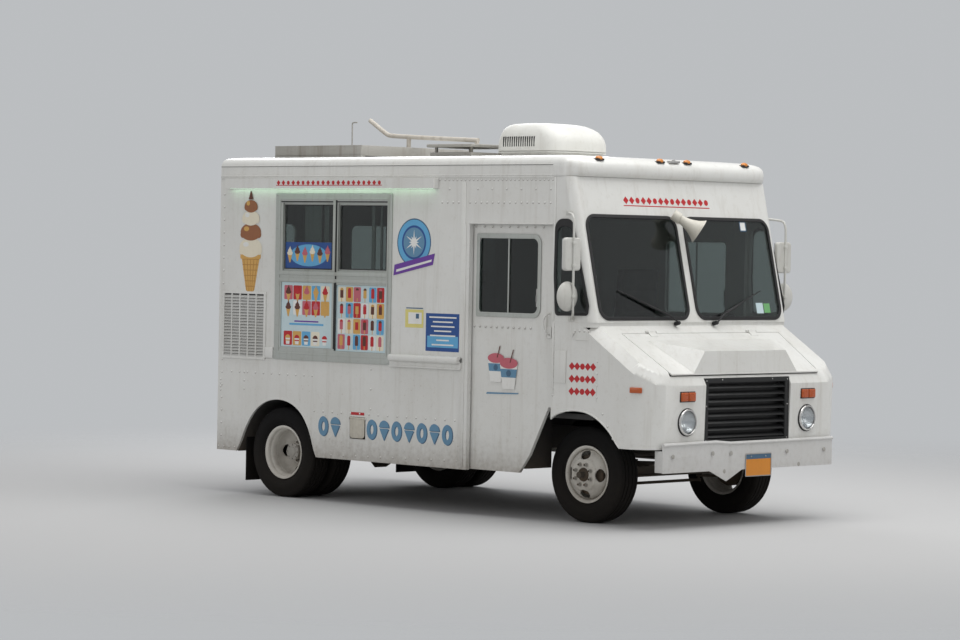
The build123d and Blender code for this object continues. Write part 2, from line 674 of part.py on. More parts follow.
def bulge(drop, back):
    """The wedge on the hood: no height at its rear edge, a low upright face in front."""
    bulge_x0, bulge_x1 = front_axle_x + 446 - back, front_axle_x + 818 - back
    rear, low, top = {}, {}, {}
    for side in (-1, 1):
        rear[side] = Vector(bulge_x0, side * (half_cab - 431), nose_z(bulge_x0) - drop)
        low[side] = Vector(bulge_x1, side * (half_cab - 548), nose_z(bulge_x1) - drop)
        top[side] = Vector(bulge_x1 - 8, side * (half_cab - 682), 1336 - drop)
    outlines = [(rear[-1], low[-1], low[1], rear[1]), (rear[-1], rear[1], top[1], top[-1]),
                (rear[1], low[1], top[1]), (rear[-1], top[-1], low[-1]), (low[-1], top[-1], top[1], low[1])]
    faces = [Face(Wire.make_polygon(outline, close=True)) for outline in outlines]
    return Solid(Shell(faces))


with BuildPart() as hood:
    add(hood_plane_plate(hood_x0, hood_x1, hood_y0, hood_y1, hood_wall))
    add(bulge(-1, 0))
    add(bulge(hood_wall + 4, hood_wall), mode=Mode.SUBTRACT)
    side_plate([(hood_x0 - 50, nose_z(hood_x0 - 50) - hood_wall), (lip_x + 60, nose_z(lip_x + 60) - hood_wall),
                (lip_x + 60, 800), (hood_x0 - 50, 800)], -1300, 1300, mode=Mode.SUBTRACT)
    for side in (-1, 1):
        barrel_y = side * hood_hinge_y
        side_plate([(hinge_x, hinge_z + 6), (hinge_x + 40, nose_z(hinge_x + 40) + 4),
                    (hinge_x + 40, nose_z(hinge_x + 40) - 1), (hinge_x + 6, nose_z(hinge_x + 6) - 1),
                    (hinge_x, hinge_z - 6)], barrel_y - 40, barrel_y + 40)
        bar((hinge_x, barrel_y - 40, hinge_z), (hinge_x, barrel_y + 40, hinge_z), 8)
        rod((hinge_x, barrel_y - 41, hinge_z), (hinge_x, barrel_y + 41, hinge_z), 4 + running_gap, Mode.SUBTRACT)
keep(hood.part, "hood")

# Grille with eight slats and the radiator core behind it
with BuildPart() as grille:
    cross_plate(rectangle(-grille_half, grille_half, grille_z0, grille_z1), face_x - 30, face_x - 4)
    cross_plate(rectangle(-457, 457, grille_z0 + 45, grille_z1 - 35), face_x - 40, face_x + 5, mode=Mode.SUBTRACT)
    for i in range(8):
        z = 1071 - i * 52
        block(face_x - 29, face_x - 6, -460, 460, z - 13, z + 13)
    block(face_x - 75, face_x - 29, -430, 430, grille_z0 + 20, grille_z1 - 30)
keep(grille.part, "grille")

# Front bumper, bent down where it took a knock, with a rolled top edge
bumper_face_x = front_axle_x + front_overhang
bumper_half = half_cab - 150
bumper_z0, bumper_z1 = 432, 643
bumper_plate = 8
bumper_top = [(-bumper_half, bumper_z1), (-409, bumper_z1 + 8), (-230, bumper_z1 - 6), (bumper_half, bumper_z1)]
bumper_low = [(bumper_half, bumper_z0), (-90, bumper_z0), (-276, 349), (-470, bumper_z0), (-bumper_half, bumper_z0)]
with BuildPart() as bumper:
    cross_plate(bumper_top + bumper_low, bumper_face_x - 12 - bumper_plate, bumper_face_x - 12)
    roll = 13
    add(bent_bar([(bumper_face_x - roll, y, z - 2) for y, z in bumper_top], roll))
    for side in (-1, 1):
        block(bumper_face_x - 90, bumper_face_x - 14, side * (bumper_half - 4) - 4, side * (bumper_half - 4) + 4,
              bumper_z0 + 4, nose_low_z - 10)
    for y in (-906, -446, -231, 446, 906):
        bar((bumper_face_x - 15, y, 555), (bumper_face_x - 3, y, 555), 14, 6)
keep(bumper.part, "front_bumper")
with BuildPart() as plates:
    block(bumper_face_x - 12 + seat_gap, bumper_face_x - 9, -54, 257, 376, 549)


# Lamps on the nose, the brow and the sides
def face_at(z):
    """Where the nose's leaning front face stands at a height."""
    return face_x + (lip_x - face_x) * (z - nose_low_z) / (lip_z - nose_low_z)


ring_x = face_at(lamp_z + lamp_radius) + seat_gap
turn_x = face_at(turn_z + turn_height / 2) + seat_gap
marker_lean = 19
with BuildPart() as headlamps:
    for side in (-1, 1):
        bar((ring_x, side * lamp_y, lamp_z), (ring_x + 12, side * lamp_y, lamp_z), lamp_radius, 16)
        bar((ring_x - 70, side * lamp_y, lamp_z), (ring_x + 1, side * lamp_y, lamp_z), lamp_radius - 14, 12)
        bar((ring_x + 5, side * lamp_y, lamp_z), (ring_x + 18, side * lamp_y, lamp_z), lamp_radius - 20, 16)
keep(headlamps.part, "headlamps")
with BuildPart() as amber:
    for side in (-1, 1):
        block(turn_x, turn_x + 20, side * turn_y - turn_width / 2, side * turn_y + turn_width / 2,
              turn_z - turn_height / 2, turn_z + turn_height / 2)
        lean = radians(marker_lean)
        spot = (face_at(1049) - 200 + 206.5 * sin(lean), side * (half_cab - 200 + 206.5 * cos(lean)), 1049)
        with Locations(Location(spot, (0, 0, -side * marker_lean))):
            Box(100, 12, 44)
with BuildPart() as markers:
    for y in (303 - half_body, -161, 0, 161, half_body - 303):
        block(brow_x - 50, brow_x - 6, y - 38, y + 38, 2772, 2800)
    add(roof_form(-0.3), mode=Mode.SUBTRACT)
keep(Compound(children=[*amber.part.solids(), *markers.part.solids()]), "amber_lamps")

# Wipers, their blades lying over the panes
with BuildPart() as wipers:
    for side in (-1, 1):
        pivot = (front_axle_x + 314, side * 228, 1552)
        bar((pivot[0], pivot[1], nose_z(pivot[0] - 13) + seat_gap), (pivot[0], pivot[1], 1562), 13, 8)
        tip = (screen_x(1800) + 26, side * 560, 1800)
        bar(pivot, tip, 6, 6)
        bar((screen_x(1640) + 24, side * 450, 1640), (screen_x(1990) + 24, side * 690, 1990), 7, 6)
keep(wipers.part, "wipers")

# Mirrors: a tube loop on each cab side with a tall head and a round one below it
mirror_arm_y = half_cab + 99
mirror_y0, mirror_y1 = half_cab + 10, half_cab + 185
round_mirror_y, round_mirror_z = half_cab + 127, 1732
with BuildPart() as mirror_arm:
    loop = [(20, half_cab + seat_gap, 2362), (145, mirror_arm_y - 2, 2335), (163, mirror_arm_y, 2200),
            (163, mirror_arm_y, 1640), (60, half_cab + seat_gap, 1560)]
    add(bent_bar([(front_axle_x + x, y, z) for x, y, z in loop], 10))
    block(front_axle_x + 118, front_axle_x + 158, mirror_y0, mirror_y1, 1925, 2175)
    bar((front_axle_x + 126, round_mirror_y, round_mirror_z), (front_axle_x + 158, round_mirror_y, round_mirror_z),
        112, 20)
    block(front_axle_x - 300, front_axle_x + 300, half_cab - 165, half_cab + seat_gap, 1400, 2600,
          mode=Mode.SUBTRACT)
keep(both_sides(mirror_arm.part), "mirrors")
with BuildPart() as mirror_face:
    block(front_axle_x + 113, front_axle_x + 118 - seat_gap, mirror_y0 + 10, mirror_y1 - 10, 1935, 2165)
    bar((front_axle_x + 121, round_mirror_y, round_mirror_z),
        (front_axle_x + 126 - seat_gap, round_mirror_y, round_mirror_z), 104, 20)
keep(both_sides(mirror_face.part), "mirror_glass")

# Loudspeaker horn on the windscreen's centre post
with BuildPart() as horn:
    mouths = [Plane(origin=(front_axle_x + x, y, z), x_dir=(0.54, 0.84, 0), z_dir=(0.82, 0.53, -0.2))
              for x, y, z in ((230, -120, 2330), (375, 10, 2265))]
    add(flat_faced([many_sided(mouths[0], 52, 12), many_sided(mouths[1], 90, 12)]))
    bar((screen_x(2340) + 20, -8, 2340), (front_axle_x + 240, -118, 2332), 16, 8)
    block(screen_x(2310) + seat_gap, screen_x(2310) + 26, -30, 30, 2310, 2370)
keep(horn.part, "loudspeaker")

# Rear wall: a frame round two tall doors
rear_half = inner_side - 45
rear_z0, rear_z1 = 640, 2450
rear_hinge_zs = (896, 1663)
rear_hinge_x = body_rear_x - 26
rear_hinge_y = inner_side - 18
door_gap = 6
rear_wall_x = body_rear_x + wall
post_lap = 0.3
plate_hole_spacing = 178    # number plate screws
plate_hole_radius = 3.5
with BuildPart() as rear_wall:
    cross_plate(rectangle(-inner_side + post_lap, inner_side - post_lap, skirt_z, eaves_z), body_rear_x, rear_wall_x)
    cross_plate(rectangle(-rear_half, rear_half, rear_z0, rear_z1), body_rear_x - 1, rear_wall_x + 1, mode=Mode.SUBTRACT)
    for side in (-1, 1):
        rod((body_rear_x - 1, side * plate_hole_spacing / 2, 480), (rear_wall_x + 1, side * plate_hole_spacing / 2, 480),
            plate_hole_radius, Mode.SUBTRACT)
    for side in (-1, 1):
        for z in rear_hinge_zs:
            block(body_rear_x - 38, body_rear_x + 2, side * rear_hinge_y - 12, side * rear_hinge_y + 12, z - 90, z - 72)
            block(body_rear_x - 38, body_rear_x + 2, side * rear_hinge_y - 12, side * rear_hinge_y + 12, z + 72, z + 90)
            bar((rear_hinge_x, side * rear_hinge_y, z - 80), (rear_hinge_x, side * rear_hinge_y, z + 80), 5.7, 12)
keep(rear_wall.part, "rear_wall")

pane_inset = 6
rear_pane = rectangle(330, 860, 1750, 2260)
for side, name in ((1, "left"), (-1, "right")):
    with BuildPart() as rear_door:
        cross_plate(rectangle(3, rear_half - door_gap, rear_z0 + door_gap, rear_z1 - door_gap), body_rear_x,
                    rear_wall_x - 8)
        cross_plate(rear_pane, body_rear_x - 1, rear_wall_x + 1, radius=60, mode=Mode.SUBTRACT)
        for z in rear_hinge_zs:
            bar((rear_hinge_x, rear_hinge_y, z - 69), (rear_hinge_x, rear_hinge_y, z + 69), 12)
            block(rear_hinge_x - 6, rear_hinge_x + 4, rear_hinge_y - 160, rear_hinge_y - 4, z - 40, z + 40)
            block(rear_hinge_x + 2, body_rear_x + 2, rear_hinge_y - 160, rear_hinge_y - 50, z - 40, z + 40)
            rod((rear_hinge_x, rear_hinge_y, z - 70), (rear_hinge_x, rear_hinge_y, z + 70), 6 + running_gap, Mode.SUBTRACT)
        if side < 0:
            block(body_rear_x - 40, body_rear_x - 28, 60, 90, 1140, 1300)
            block(body_rear_x - 34, body_rear_x + 2, 60, 90, 1140, 1160)
            block(body_rear_x - 34, body_rear_x + 2, 60, 90, 1280, 1300)
    with BuildPart() as rear_pane_part:
        cross_plate(rectangle(330 + seat_gap, 860 - seat_gap, 1750 + seat_gap, 2260 - seat_gap), body_rear_x + 10,
                    body_rear_x + 16, radius=60)
    if side > 0:
        keep(rear_door.part, "rear_door_left")
        keep(rear_pane_part.part, "rear_glass_left")
    else:
        keep(mirror(rear_door.part, about=Plane.XZ), "rear_door_right")
        keep(mirror(rear_pane_part.part, about=Plane.XZ), "rear_glass_right")

# Rear step on two arms from the frame, tail lamps above it
with BuildPart() as rear_step:
    block(body_rear_x - step_reach, body_rear_x - 6, -520, 520, 330, 350)
    block(body_rear_x - step_reach, body_rear_x - step_reach + 12, -520, 520, 280, 430)
    for side in (-1, 1):
        block(body_rear_x - step_reach + 6, rail_rear_x + 300, side * 400 - 20, side * 400 + 20, 300, skirt_z - 1)
        block(rail_rear_x + 5, rail_rear_x + 300, side * 400 - 20, side * 400 + 20, 330, rail_low_z + 2)
with BuildPart() as frame_and_step:
    add(frame.part)
    add(rear_step.part)
keep(frame_and_step.part, "frame")
with BuildPart() as tail_lamps:
    for side in (-1, 1):
        for y in (640, 780):
            bar((body_rear_x - seat_gap, side * y, 540), (body_rear_x - 24, side * y, 540), 52, 16)
keep(tail_lamps.part, "tail_lamps")
with BuildPart() as mudflaps:
    for side in (-1, 1):
        y0, y1 = sorted((side * 640, side * 1120))
        block(rear_axle_x - 465, rear_axle_x - 457, y0, y1, 110, 640)
        y0, y1 = sorted((side * (rail_outer_y + seat_gap), side * 1120))
        block(rear_axle_x - 485, rear_axle_x - 455, y0, y1, 620, 660)
keep(mudflaps.part, "mudflaps")

# Sliding doors: each runs rearwards inside the wall, hung by two hooks from a rail
door_outer_y = inner_side - 11
door_inner_y = door_outer_y - 29
door_front_x = post_x + 16
door_back_x = -1068
door_low_z, door_high_z = 362, 2290
door_slide = 780
rail_z0, rail_z1 = 2300, 2335
door_toe = [(door_front_x, 880), (-200, 880), (-392, 504), (-500, door_low_z)]
for side, name in ((1, "left"), (-1, "right")):
    with BuildPart() as door:
        side_plate(ahead([(door_back_x, door_low_z), (door_back_x, door_high_z), (door_front_x, door_high_z)] + door_toe),
                   door_inner_y, door_outer_y)
        side_plate(ahead(rectangle(-963, -319, 1578, 2169)), door_inner_y - 1, door_outer_y + 1, radius=45,
                   mode=Mode.SUBTRACT)
        for x in (-960, -260):
            block(front_axle_x + x - 30, front_axle_x + x + 30, door_inner_y - 10, door_inner_y + 1, 2180, 2350)
            block(front_axle_x + x - 30, front_axle_x + x + 30, door_inner_y - 10, door_inner_y + 20,
                  rail_z1 + running_gap, 2350)
        block(front_axle_x - 262, front_axle_x - 232, door_outer_y - 1, door_outer_y + 5, 1411, 1592)
    with BuildPart() as door_pane:
        side_plate(ahead(rectangle(-963 + seat_gap, -319 - seat_gap, 1578 + seat_gap, 2169 - seat_gap)),
                   door_outer_y - 14, door_outer_y - 8, radius=45)
    if side > 0:
        keep(door.part, "door_left")
        keep(door_pane.part, "door_glass_left")
    else:
        keep(mirror(door.part, about=Plane.XZ), "door_right")
        keep(mirror(door_pane.part, about=Plane.XZ), "door_glass_right")
door_pocket_x = front_axle_x + door_back_x - door_slide - 52

# Floor with a step well inside each sliding door
well_x0, well_x1 = -1010, -470
well_y0, well_y1 = inner_side - 330, inner_side - 50
well_floor = 400
with BuildPart() as floor:
    level_plate([(rear_wall_x + seat_gap, -inner_side + seat_gap), (door_pocket_x, -inner_side + seat_gap),
                 (door_pocket_x, -well_y1), (front_axle_x + 225, -well_y1), (front_axle_x + 225, well_y1),
                 (door_pocket_x, well_y1), (door_pocket_x, inner_side - seat_gap),
                 (rear_wall_x + seat_gap, inner_side - seat_gap)], floor_low_z + seat_gap, floor_top_z)
    for side in (-1, 1):
        y0, y1 = sorted((side * well_y0, side * (well_y1 + 2)))
        block(front_axle_x + well_x0, front_axle_x + well_x1, y0, y1, floor_low_z - 50, floor_top_z + 1, mode=Mode.SUBTRACT)
    block(front_axle_x - 500, front_axle_x + 230, -300, 300, floor_low_z - 50, floor_top_z + 1, mode=Mode.SUBTRACT)
    for side in (-1, 1):
        y0, y1 = sorted((side * (well_y0 - 8), side * well_y1))
        z1 = floor_low_z + 2
        block(front_axle_x + well_x0 - 8, front_axle_x + well_x1 + 8, y0, y1, well_floor - 8, well_floor)
        inner0, inner1 = sorted((side * (well_y0 - 8), side * well_y0))
        block(front_axle_x + well_x0 - 8, front_axle_x + well_x1 + 8, inner0, inner1, well_floor - 4, z1)
        block(front_axle_x + well_x0 - 8, front_axle_x + well_x0, y0, y1, well_floor - 4, z1)
        block(front_axle_x + well_x1, front_axle_x + well_x1 + 8, y0, y1, well_floor - 4, z1)

# Bulkhead between the nose and the cab, open where the engine reaches through it
with BuildPart() as bulkhead:
    cross_plate([(95 - half_cab, floor_top_z - 10), (half_cab - 95, floor_top_z - 10), (half_cab - 95, 1400), (1000, 1480),
                 (-1000, 1480), (95 - half_cab, 1400)], front_axle_x + 200, front_axle_x + 206)
    add(floor.part)
    cross_plate(rectangle(-300, 300, floor_top_z - 20, 1260), front_axle_x + 199, front_axle_x + 207, mode=Mode.SUBTRACT)
with BuildPart() as dash:
    side_plate(ahead([(200 - seat_gap, 1515), (40, 1500), (20, 1440), (60, 1300), (200 - seat_gap, 1280)]),
               45 - half_cab, half_cab - 45)
    for side in (-1, 1):
        y0, y1 = sorted((side * (half_cab - 105), side * (half_cab + 35)))
        block(front_axle_x - 200, front_axle_x + 400, y0, y1, 1000, 1600, mode=Mode.SUBTRACT)

# Engine under a cover between the seats
with BuildPart() as cover:
    block(front_axle_x - 520, front_axle_x + 202, -320, 320, floor_top_z - 2, 1270)
    block(front_axle_x - 505, front_axle_x + 220, -305, 305, floor_top_z - 10, 1255, mode=Mode.SUBTRACT)
with BuildPart() as floor_and_cover:
    add(bulkhead.part)
    add(cover.part)
keep(floor_and_cover.part, "floor")
with BuildPart() as engine:
    block(front_axle_x - 420, front_axle_x + 480, -230, 230, 640, 1130)
    for side in (-1, 1):
        y0, y1 = sorted((side * 229, side * (rail_outer_y - rail_width - 6)))
        block(front_axle_x + 60, front_axle_x + 140, y0, y1, 640, 720)
        y0, y1 = sorted((side * 300, side * (rail_outer_y - 12)))
        block(front_axle_x + 60, front_axle_x + 140, y0, y1, rail_top_z + seat_gap, 730)
    bar((front_axle_x - 421, 0, 660), (front_axle_x - 900, 0, 600), 110, 12)
keep(engine.part, "engine")
with BuildPart() as driveline:
    add(rear_axle.part)
    bar((front_axle_x - 901, 0, 600), (rear_axle_x + 262, 0, tyre_radius + 24), 42, 8)
keep(driveline.part, "rear_axle")
with BuildPart() as exhaust:
    line = [(front_axle_x - 300, -262, 600), (front_axle_x - 700, -262, 560), (front_axle_x - 1500, -250, 470)]
    add(bent_bar(line, 28))
    bar((front_axle_x - 1500, -250, 470), (rear_axle_x + 1025, -250, 470), 95, 12)
    bar((rear_axle_x + 1025, -250, 470), (rear_axle_x + 725, -250, 470), 28)
    block(rear_axle_x + 1325, rear_axle_x + 1355, -270, -230, 560, 640)
    block(rear_axle_x + 1325, rear_axle_x + 1355, -rail_outer_y + rail_plate + seat_gap, -240, 610, 640)
keep(exhaust.part, "exhaust")
with BuildPart() as tank:
    block(rear_axle_x + 675, door_pocket_x, -900, -rail_outer_y - 20, 430, 690)
    block(rear_axle_x + 775, rear_axle_x + 805, -500, -rail_outer_y - seat_gap, 560, 600)
    block(rear_axle_x + 1145, rear_axle_x + 1175, -500, -rail_outer_y - seat_gap, 560, 600)
    bar((rear_axle_x + 929, -890, 600), (rear_axle_x + 929, -1120, 625), 26)
    bar((rear_axle_x + 929, -1115, 625), (rear_axle_x + 929, -1150, 625), 38)
keep(tank.part, "fuel_tank")
with BuildPart() as flap:
    side_plate(behind(rectangle(flap_x0, flap_x1, flap_z0, flap_z1 - 14)), -half_body, -half_body + 6)
    bar((rear_axle_x + flap_x0, -half_body - 2, flap_z1 - 8), (rear_axle_x + flap_x1, -half_body - 2, flap_z1 - 8), 8)
    rod((rear_axle_x + flap_x0 - 1, -half_body - 2, flap_z1 - 8), (rear_axle_x + flap_x1 + 1, -half_body - 2, flap_z1 - 8), 3.3, Mode.SUBTRACT)
keep(flap.part, "fuel_flap")
with BuildPart() as flap_pin:
    bar((rear_axle_x + flap_x0 - flap_gap - 10, -half_body - 2, flap_z1 - 8),
        (rear_axle_x + flap_x1 + flap_gap + 10, -half_body - 2, flap_z1 - 8), 2.8)
    for x0, x1 in ((flap_x0 - flap_gap - 10, flap_x0 - flap_gap), (flap_x1 + flap_gap, flap_x1 + flap_gap + 10)):
        block(rear_axle_x + x0, rear_axle_x + x1, -half_body - 9, -half_body + 1, flap_z1 - 18, flap_z1 + 2)
with BuildPart() as pinned_wall:
    add(right_wall.part)
    add(flap_pin.part)

# Rails the sliding doors hang from, fixed to the walls
with BuildPart() as door_rail:
    block(front_axle_x + door_back_x - door_slide, front_axle_x + door_front_x, door_inner_y + 2, door_outer_y - 2,
          rail_z0, rail_z1)
    for x in (-1800, -1450, -1100, -600, -180):
        block(front_axle_x + x - 15, front_axle_x + x + 15, door_outer_y - 3, inner_side + 1, rail_z0, rail_z1)
for wall_part, rail_part, name in (
    (left_wall.part, door_rail.part, "side_wall_left"),
    (pinned_wall.part, mirror(door_rail.part, about=Plane.XZ), "side_wall_right"),
):
    with BuildPart() as finished_wall:
        add(wall_part)
        add(rail_part)
    keep(finished_wall.part, name)

# Serving window: an aluminium frame with two upper panes and two boards below them
frame_x0, frame_x1 = -75, 1295
frame_z0, frame_z1 = 1140, 2510
panes = [(13, 614, 1872, 2429), (673, 1245, 1877, 2425), (1, 611, 1245, 1779), (653, 1243, 1230, 1767)]
with BuildPart() as serving_frame:
    side_plate(behind(rectangle(frame_x0, frame_x1, frame_z0, frame_z1)), -half_body - 14, -half_body - seat_gap)
    side_plate(behind(rectangle(window_x0 + seat_gap, window_x1 - seat_gap, window_z0 + seat_gap, window_z1 - seat_gap)),
               -half_body - 1, -inner_side - 4)
    for x0, x1, z0, z1 in panes:
        side_plate(behind(rectangle(x0, x1, z0, z1)), -half_body - 20, -inner_side + 10, mode=Mode.SUBTRACT)
keep(serving_frame.part, "serving_window_frame")
with BuildPart() as serving_glass:
    for x0, x1, z0, z1 in panes[:2]:
        side_plate(behind(rectangle(x0 + seat_gap, x1 - seat_gap, z0 + seat_gap, z1 - seat_gap)), -half_body + 6, -half_body + 12)
keep(serving_glass.part, "serving_glass")
with BuildPart() as boards:
    for x0, x1, z0, z1 in panes[2:]:
        side_plate(behind(rectangle(x0 + seat_gap, x1 - seat_gap, z0 + seat_gap, z1 - seat_gap)), -half_body - 2, -half_body + 10)
keep(Compound(children=[*boards.part.solids(), *plates.part.solids()]), "signs")
with BuildPart() as valance:
    block(rear_axle_x - 655, rear_axle_x + 1805, -half_body - 60, -half_body - seat_gap, 2545, 2630)
    block(rear_axle_x - 640, rear_axle_x + 1790, -half_body - 50, -half_body - 10, 2540, 2575, mode=Mode.SUBTRACT)
keep(valance.part, "service_light")
with BuildPart() as ledge:
    ledge_x0, ledge_x1 = rear_axle_x + frame_x1 + 8, front_axle_x - 1083
    side_plate(rectangle(ledge_x0, ledge_x1, 1128, 1231), -half_body - 24, -half_body - seat_gap)
    bar((ledge_x0, -half_body - 34, 1210), (ledge_x1, -half_body - 34, 1210), 20)
    block(ledge_x0 - 10, ledge_x1 + 10, -half_body - seat_gap, -half_body + 60, 1100, 1300, mode=Mode.SUBTRACT)
keep(ledge.part, "counter_ledge")
with BuildPart() as vent:
    side_plate(behind(rectangle(-715, -185, 1127, 1690)), -half_body - 12, -half_body - seat_gap)
    teeth, bay_low, bay_high = 13, 1145, 1672
    pitch = (bay_high - bay_low) / teeth
    slats = [(-half_body - 13, bay_low)]
    for i in range(teeth):
        slats += [(-half_body - 11, bay_low + (i + 0.02) * pitch), (-half_body - 4, bay_low + (i + 0.9) * pitch)]
    slats += [(-half_body - 13, bay_high)]
    for i in range(5):
        x = rear_axle_x - 700 + i * 102
        cross_plate(slats, x, x + 92, mode=Mode.SUBTRACT)
    side_plate(behind(rectangle(-181, -81, 1143, 1236)), -half_body - 24, -half_body - seat_gap)
keep(vent.part, "vent_grille")

# Roof gear
def roof_z(y):
    """Height of the crowned roof over a distance from the middle plane."""
    y = abs(y)
    return roof_top_z - y * 8 / 600 if y < 600 else 2822 - (y - 600) * 16 / 460


with BuildPart() as roof_box:
    block(rear_axle_x - 685, rear_axle_x + 375, -650, 650, roof_z(0) + seat_gap, 2920)
    block(rear_axle_x - 685, rear_axle_x + 375, -650, -600, roof_z(600) + seat_gap, 2900)
    block(rear_axle_x - 685, rear_axle_x + 375, 600, 650, roof_z(600) + seat_gap, 2900)
    bar((rear_axle_x + 55, -450, 2919), (rear_axle_x + 55, -450, 3120), 6, 6)
    bar((rear_axle_x + 55, -450, 3115), (rear_axle_x + 115, -450, 3118), 6, 6)
with BuildPart() as vent_cap:
    block(rear_axle_x + 935, rear_axle_x + 1415, -410, 70, roof_z(0) + seat_gap, 2862)
    block(rear_axle_x + 915, rear_axle_x + 1435, -430, 90, 2900, 2930)
    for x in (975, 1375):
        for y in (-370, 30):
            block(rear_axle_x + x - 12, rear_axle_x + x + 12, y - 12, y + 12, 2860, 2902)
air_conditioner_x = front_axle_x - 1250
# height, half length, half width and corner cut of the roof unit's shell
shell_rows = [(roof_z(0) + seat_gap, 350, 310, 110), (2862, 350, 310, 110), (2880, 370, 330, 130), (3020, 370, 330, 130),
              (3072, 345, 305, 120), (3098, 295, 255, 100)]
with BuildPart() as air_conditioner:
    rows = []
    for z, half_x, half_y, corner in shell_rows:
        bend = corner * 0.3
        quarter_turn = [(half_x, half_y - corner), (half_x - bend, half_y - bend), (half_x - corner, half_y)]
        row = quarter_turn + [(-x, y) for x, y in reversed(quarter_turn)]
        row += [(-x, -y) for x, y in row]
        rows.append([Vector(air_conditioner_x + x, y, z) for x, y in row])
    add(flat_faced(rows))
keep(air_conditioner.part, "air_conditioner")
with BuildPart() as roof_pipe:
    line = [(rear_axle_x - 198, 0, 3160), (rear_axle_x + 28, 0, 3027), (rear_axle_x + 1090, 0, 2974)]
    add(bent_bar(line, 20))
    bar((rear_axle_x + 275, 0, 2918), (rear_axle_x + 275, 0, 3014), 16)
    bar((rear_axle_x + 1075, 0, 2928), (rear_axle_x + 1075, 0, 2974), 16)
with BuildPart() as roof_gear:
    add(roof_box.part)
    add(vent_cap.part)
    add(roof_pipe.part)
keep(roof_gear.part, "roof_gear")

# Cab and shop fittings
driver_y = half_cab - 575
with BuildPart() as seat:
    block(front_axle_x - 800, front_axle_x - 340, driver_y - 190, driver_y + 190, floor_top_z + seat_gap, 1190)
    block(front_axle_x - 850, front_axle_x - 300, driver_y - 230, driver_y + 230, 1189, 1320)
    side_plate(ahead([(-860, 1250), (-760, 1250), (-830, 1950), (-920, 1950)]), driver_y - 220, driver_y + 220)
keep(seat.part, "driver_seat")
with BuildPart() as column:
    bar((front_axle_x + 205, driver_y, 1150), (front_axle_x - 20, driver_y, 1418), 26, 10)
    block(front_axle_x + 100, front_axle_x + 200 - seat_gap, driver_y - 50, driver_y + 50, 1230, 1284)
    block(front_axle_x + 190, front_axle_x + 260, driver_y - 90, driver_y + 110, 1000, 1300, mode=Mode.SUBTRACT)
    add(dash.part)
keep(column.part, "dashboard")
column_axis = Vector(-225, 0, 268).normalized()
wheel_base = Vector(front_axle_x - 20, driver_y, 1418)
with BuildPart() as steering_wheel:
    rod(tuple(wheel_base + column_axis * running_gap), tuple(wheel_base + column_axis * 60), 34)
    with BuildSketch(Plane(origin=wheel_base + column_axis * 40, x_dir=(0, 1, 0), z_dir=column_axis)) as spoke:
        Rectangle(450, 36)
        with Locations((0, -110)):
            Rectangle(36, 220)
    extrude(spoke.sketch, amount=10)
    with BuildSketch(Plane(origin=wheel_base + column_axis * 34, x_dir=(0, 1, 0), z_dir=column_axis)) as rim_ring:
        RegularPolygon(235, 16)
        RegularPolygon(208, 16, mode=Mode.SUBTRACT)
    extrude(rim_ring.sketch, amount=24)
keep(steering_wheel.part, "steering_wheel")
with BuildPart() as counters:
    block(rear_axle_x - 475, rear_axle_x + 1215, -1120, -560, 1700, 1740)
    block(rear_axle_x - 465, rear_axle_x + 1195, -1100, -600, floor_top_z + seat_gap, 1701)
    block(rear_axle_x - 545, rear_axle_x + 195, 520, 1120, floor_top_z + seat_gap, 1740)
    block(rear_axle_x - 475, rear_axle_x + 1215, -inner_side + seat_gap, -1100, 1600, 1740)
keep(counters.part, "counters")
with BuildPart() as machine:
    block(rear_axle_x + 255, rear_axle_x + 855, 480, 1110, floor_top_z + 60, 2330)
    for x in (305, 805):
        for y in (530, 1060):
            bar((rear_axle_x + x, y, floor_top_z + seat_gap), (rear_axle_x + x, y, floor_top_z + 62), 30)
    for x in (415, 695):
        block(rear_axle_x + x - 50, rear_axle_x + x + 50, 400, 481, 1800, 1900)
        bar((rear_axle_x + x, 430, 1801), (rear_axle_x + x, 430, 1720), 22)
    block(rear_axle_x + 315, rear_axle_x + 795, 330, 481, 1500, 1530)
keep(machine.part, "soft_serve_machine")
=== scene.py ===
import bpy
import math
from mathutils import Matrix, Vector


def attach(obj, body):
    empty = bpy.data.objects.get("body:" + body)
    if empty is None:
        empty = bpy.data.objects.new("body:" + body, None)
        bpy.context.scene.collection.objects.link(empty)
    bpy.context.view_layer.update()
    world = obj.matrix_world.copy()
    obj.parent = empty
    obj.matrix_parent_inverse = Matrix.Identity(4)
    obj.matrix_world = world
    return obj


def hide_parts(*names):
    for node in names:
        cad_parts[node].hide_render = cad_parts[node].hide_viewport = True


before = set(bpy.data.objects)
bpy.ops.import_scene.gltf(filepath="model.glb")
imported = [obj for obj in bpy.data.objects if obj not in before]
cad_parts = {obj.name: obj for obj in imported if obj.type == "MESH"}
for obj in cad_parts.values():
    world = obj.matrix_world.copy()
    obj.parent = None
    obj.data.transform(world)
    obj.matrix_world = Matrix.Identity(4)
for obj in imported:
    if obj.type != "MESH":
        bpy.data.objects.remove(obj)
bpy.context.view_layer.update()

# Camera, at the place and with the long lens of the photograph: from the truck's
# front right corner, some twenty-four metres away and two metres up.
FRONT_AXLE_X = 1.61
REAR_AXLE_X = -1.565
yaw, pitch, roll = math.radians(-44.06285), math.radians(-1.24573), math.radians(1.0208)
look = Vector((math.sin(yaw) * math.cos(pitch), math.cos(yaw) * math.cos(pitch), math.sin(pitch)))
across = Vector((math.cos(yaw), -math.sin(yaw), 0))
above = across.cross(look)
camera_right = math.cos(roll) * across + math.sin(roll) * above
camera_up = -math.sin(roll) * across + math.cos(roll) * above
bpy.ops.object.select_all(action="DESELECT")
bpy.ops.object.camera_add()
camera = bpy.context.object
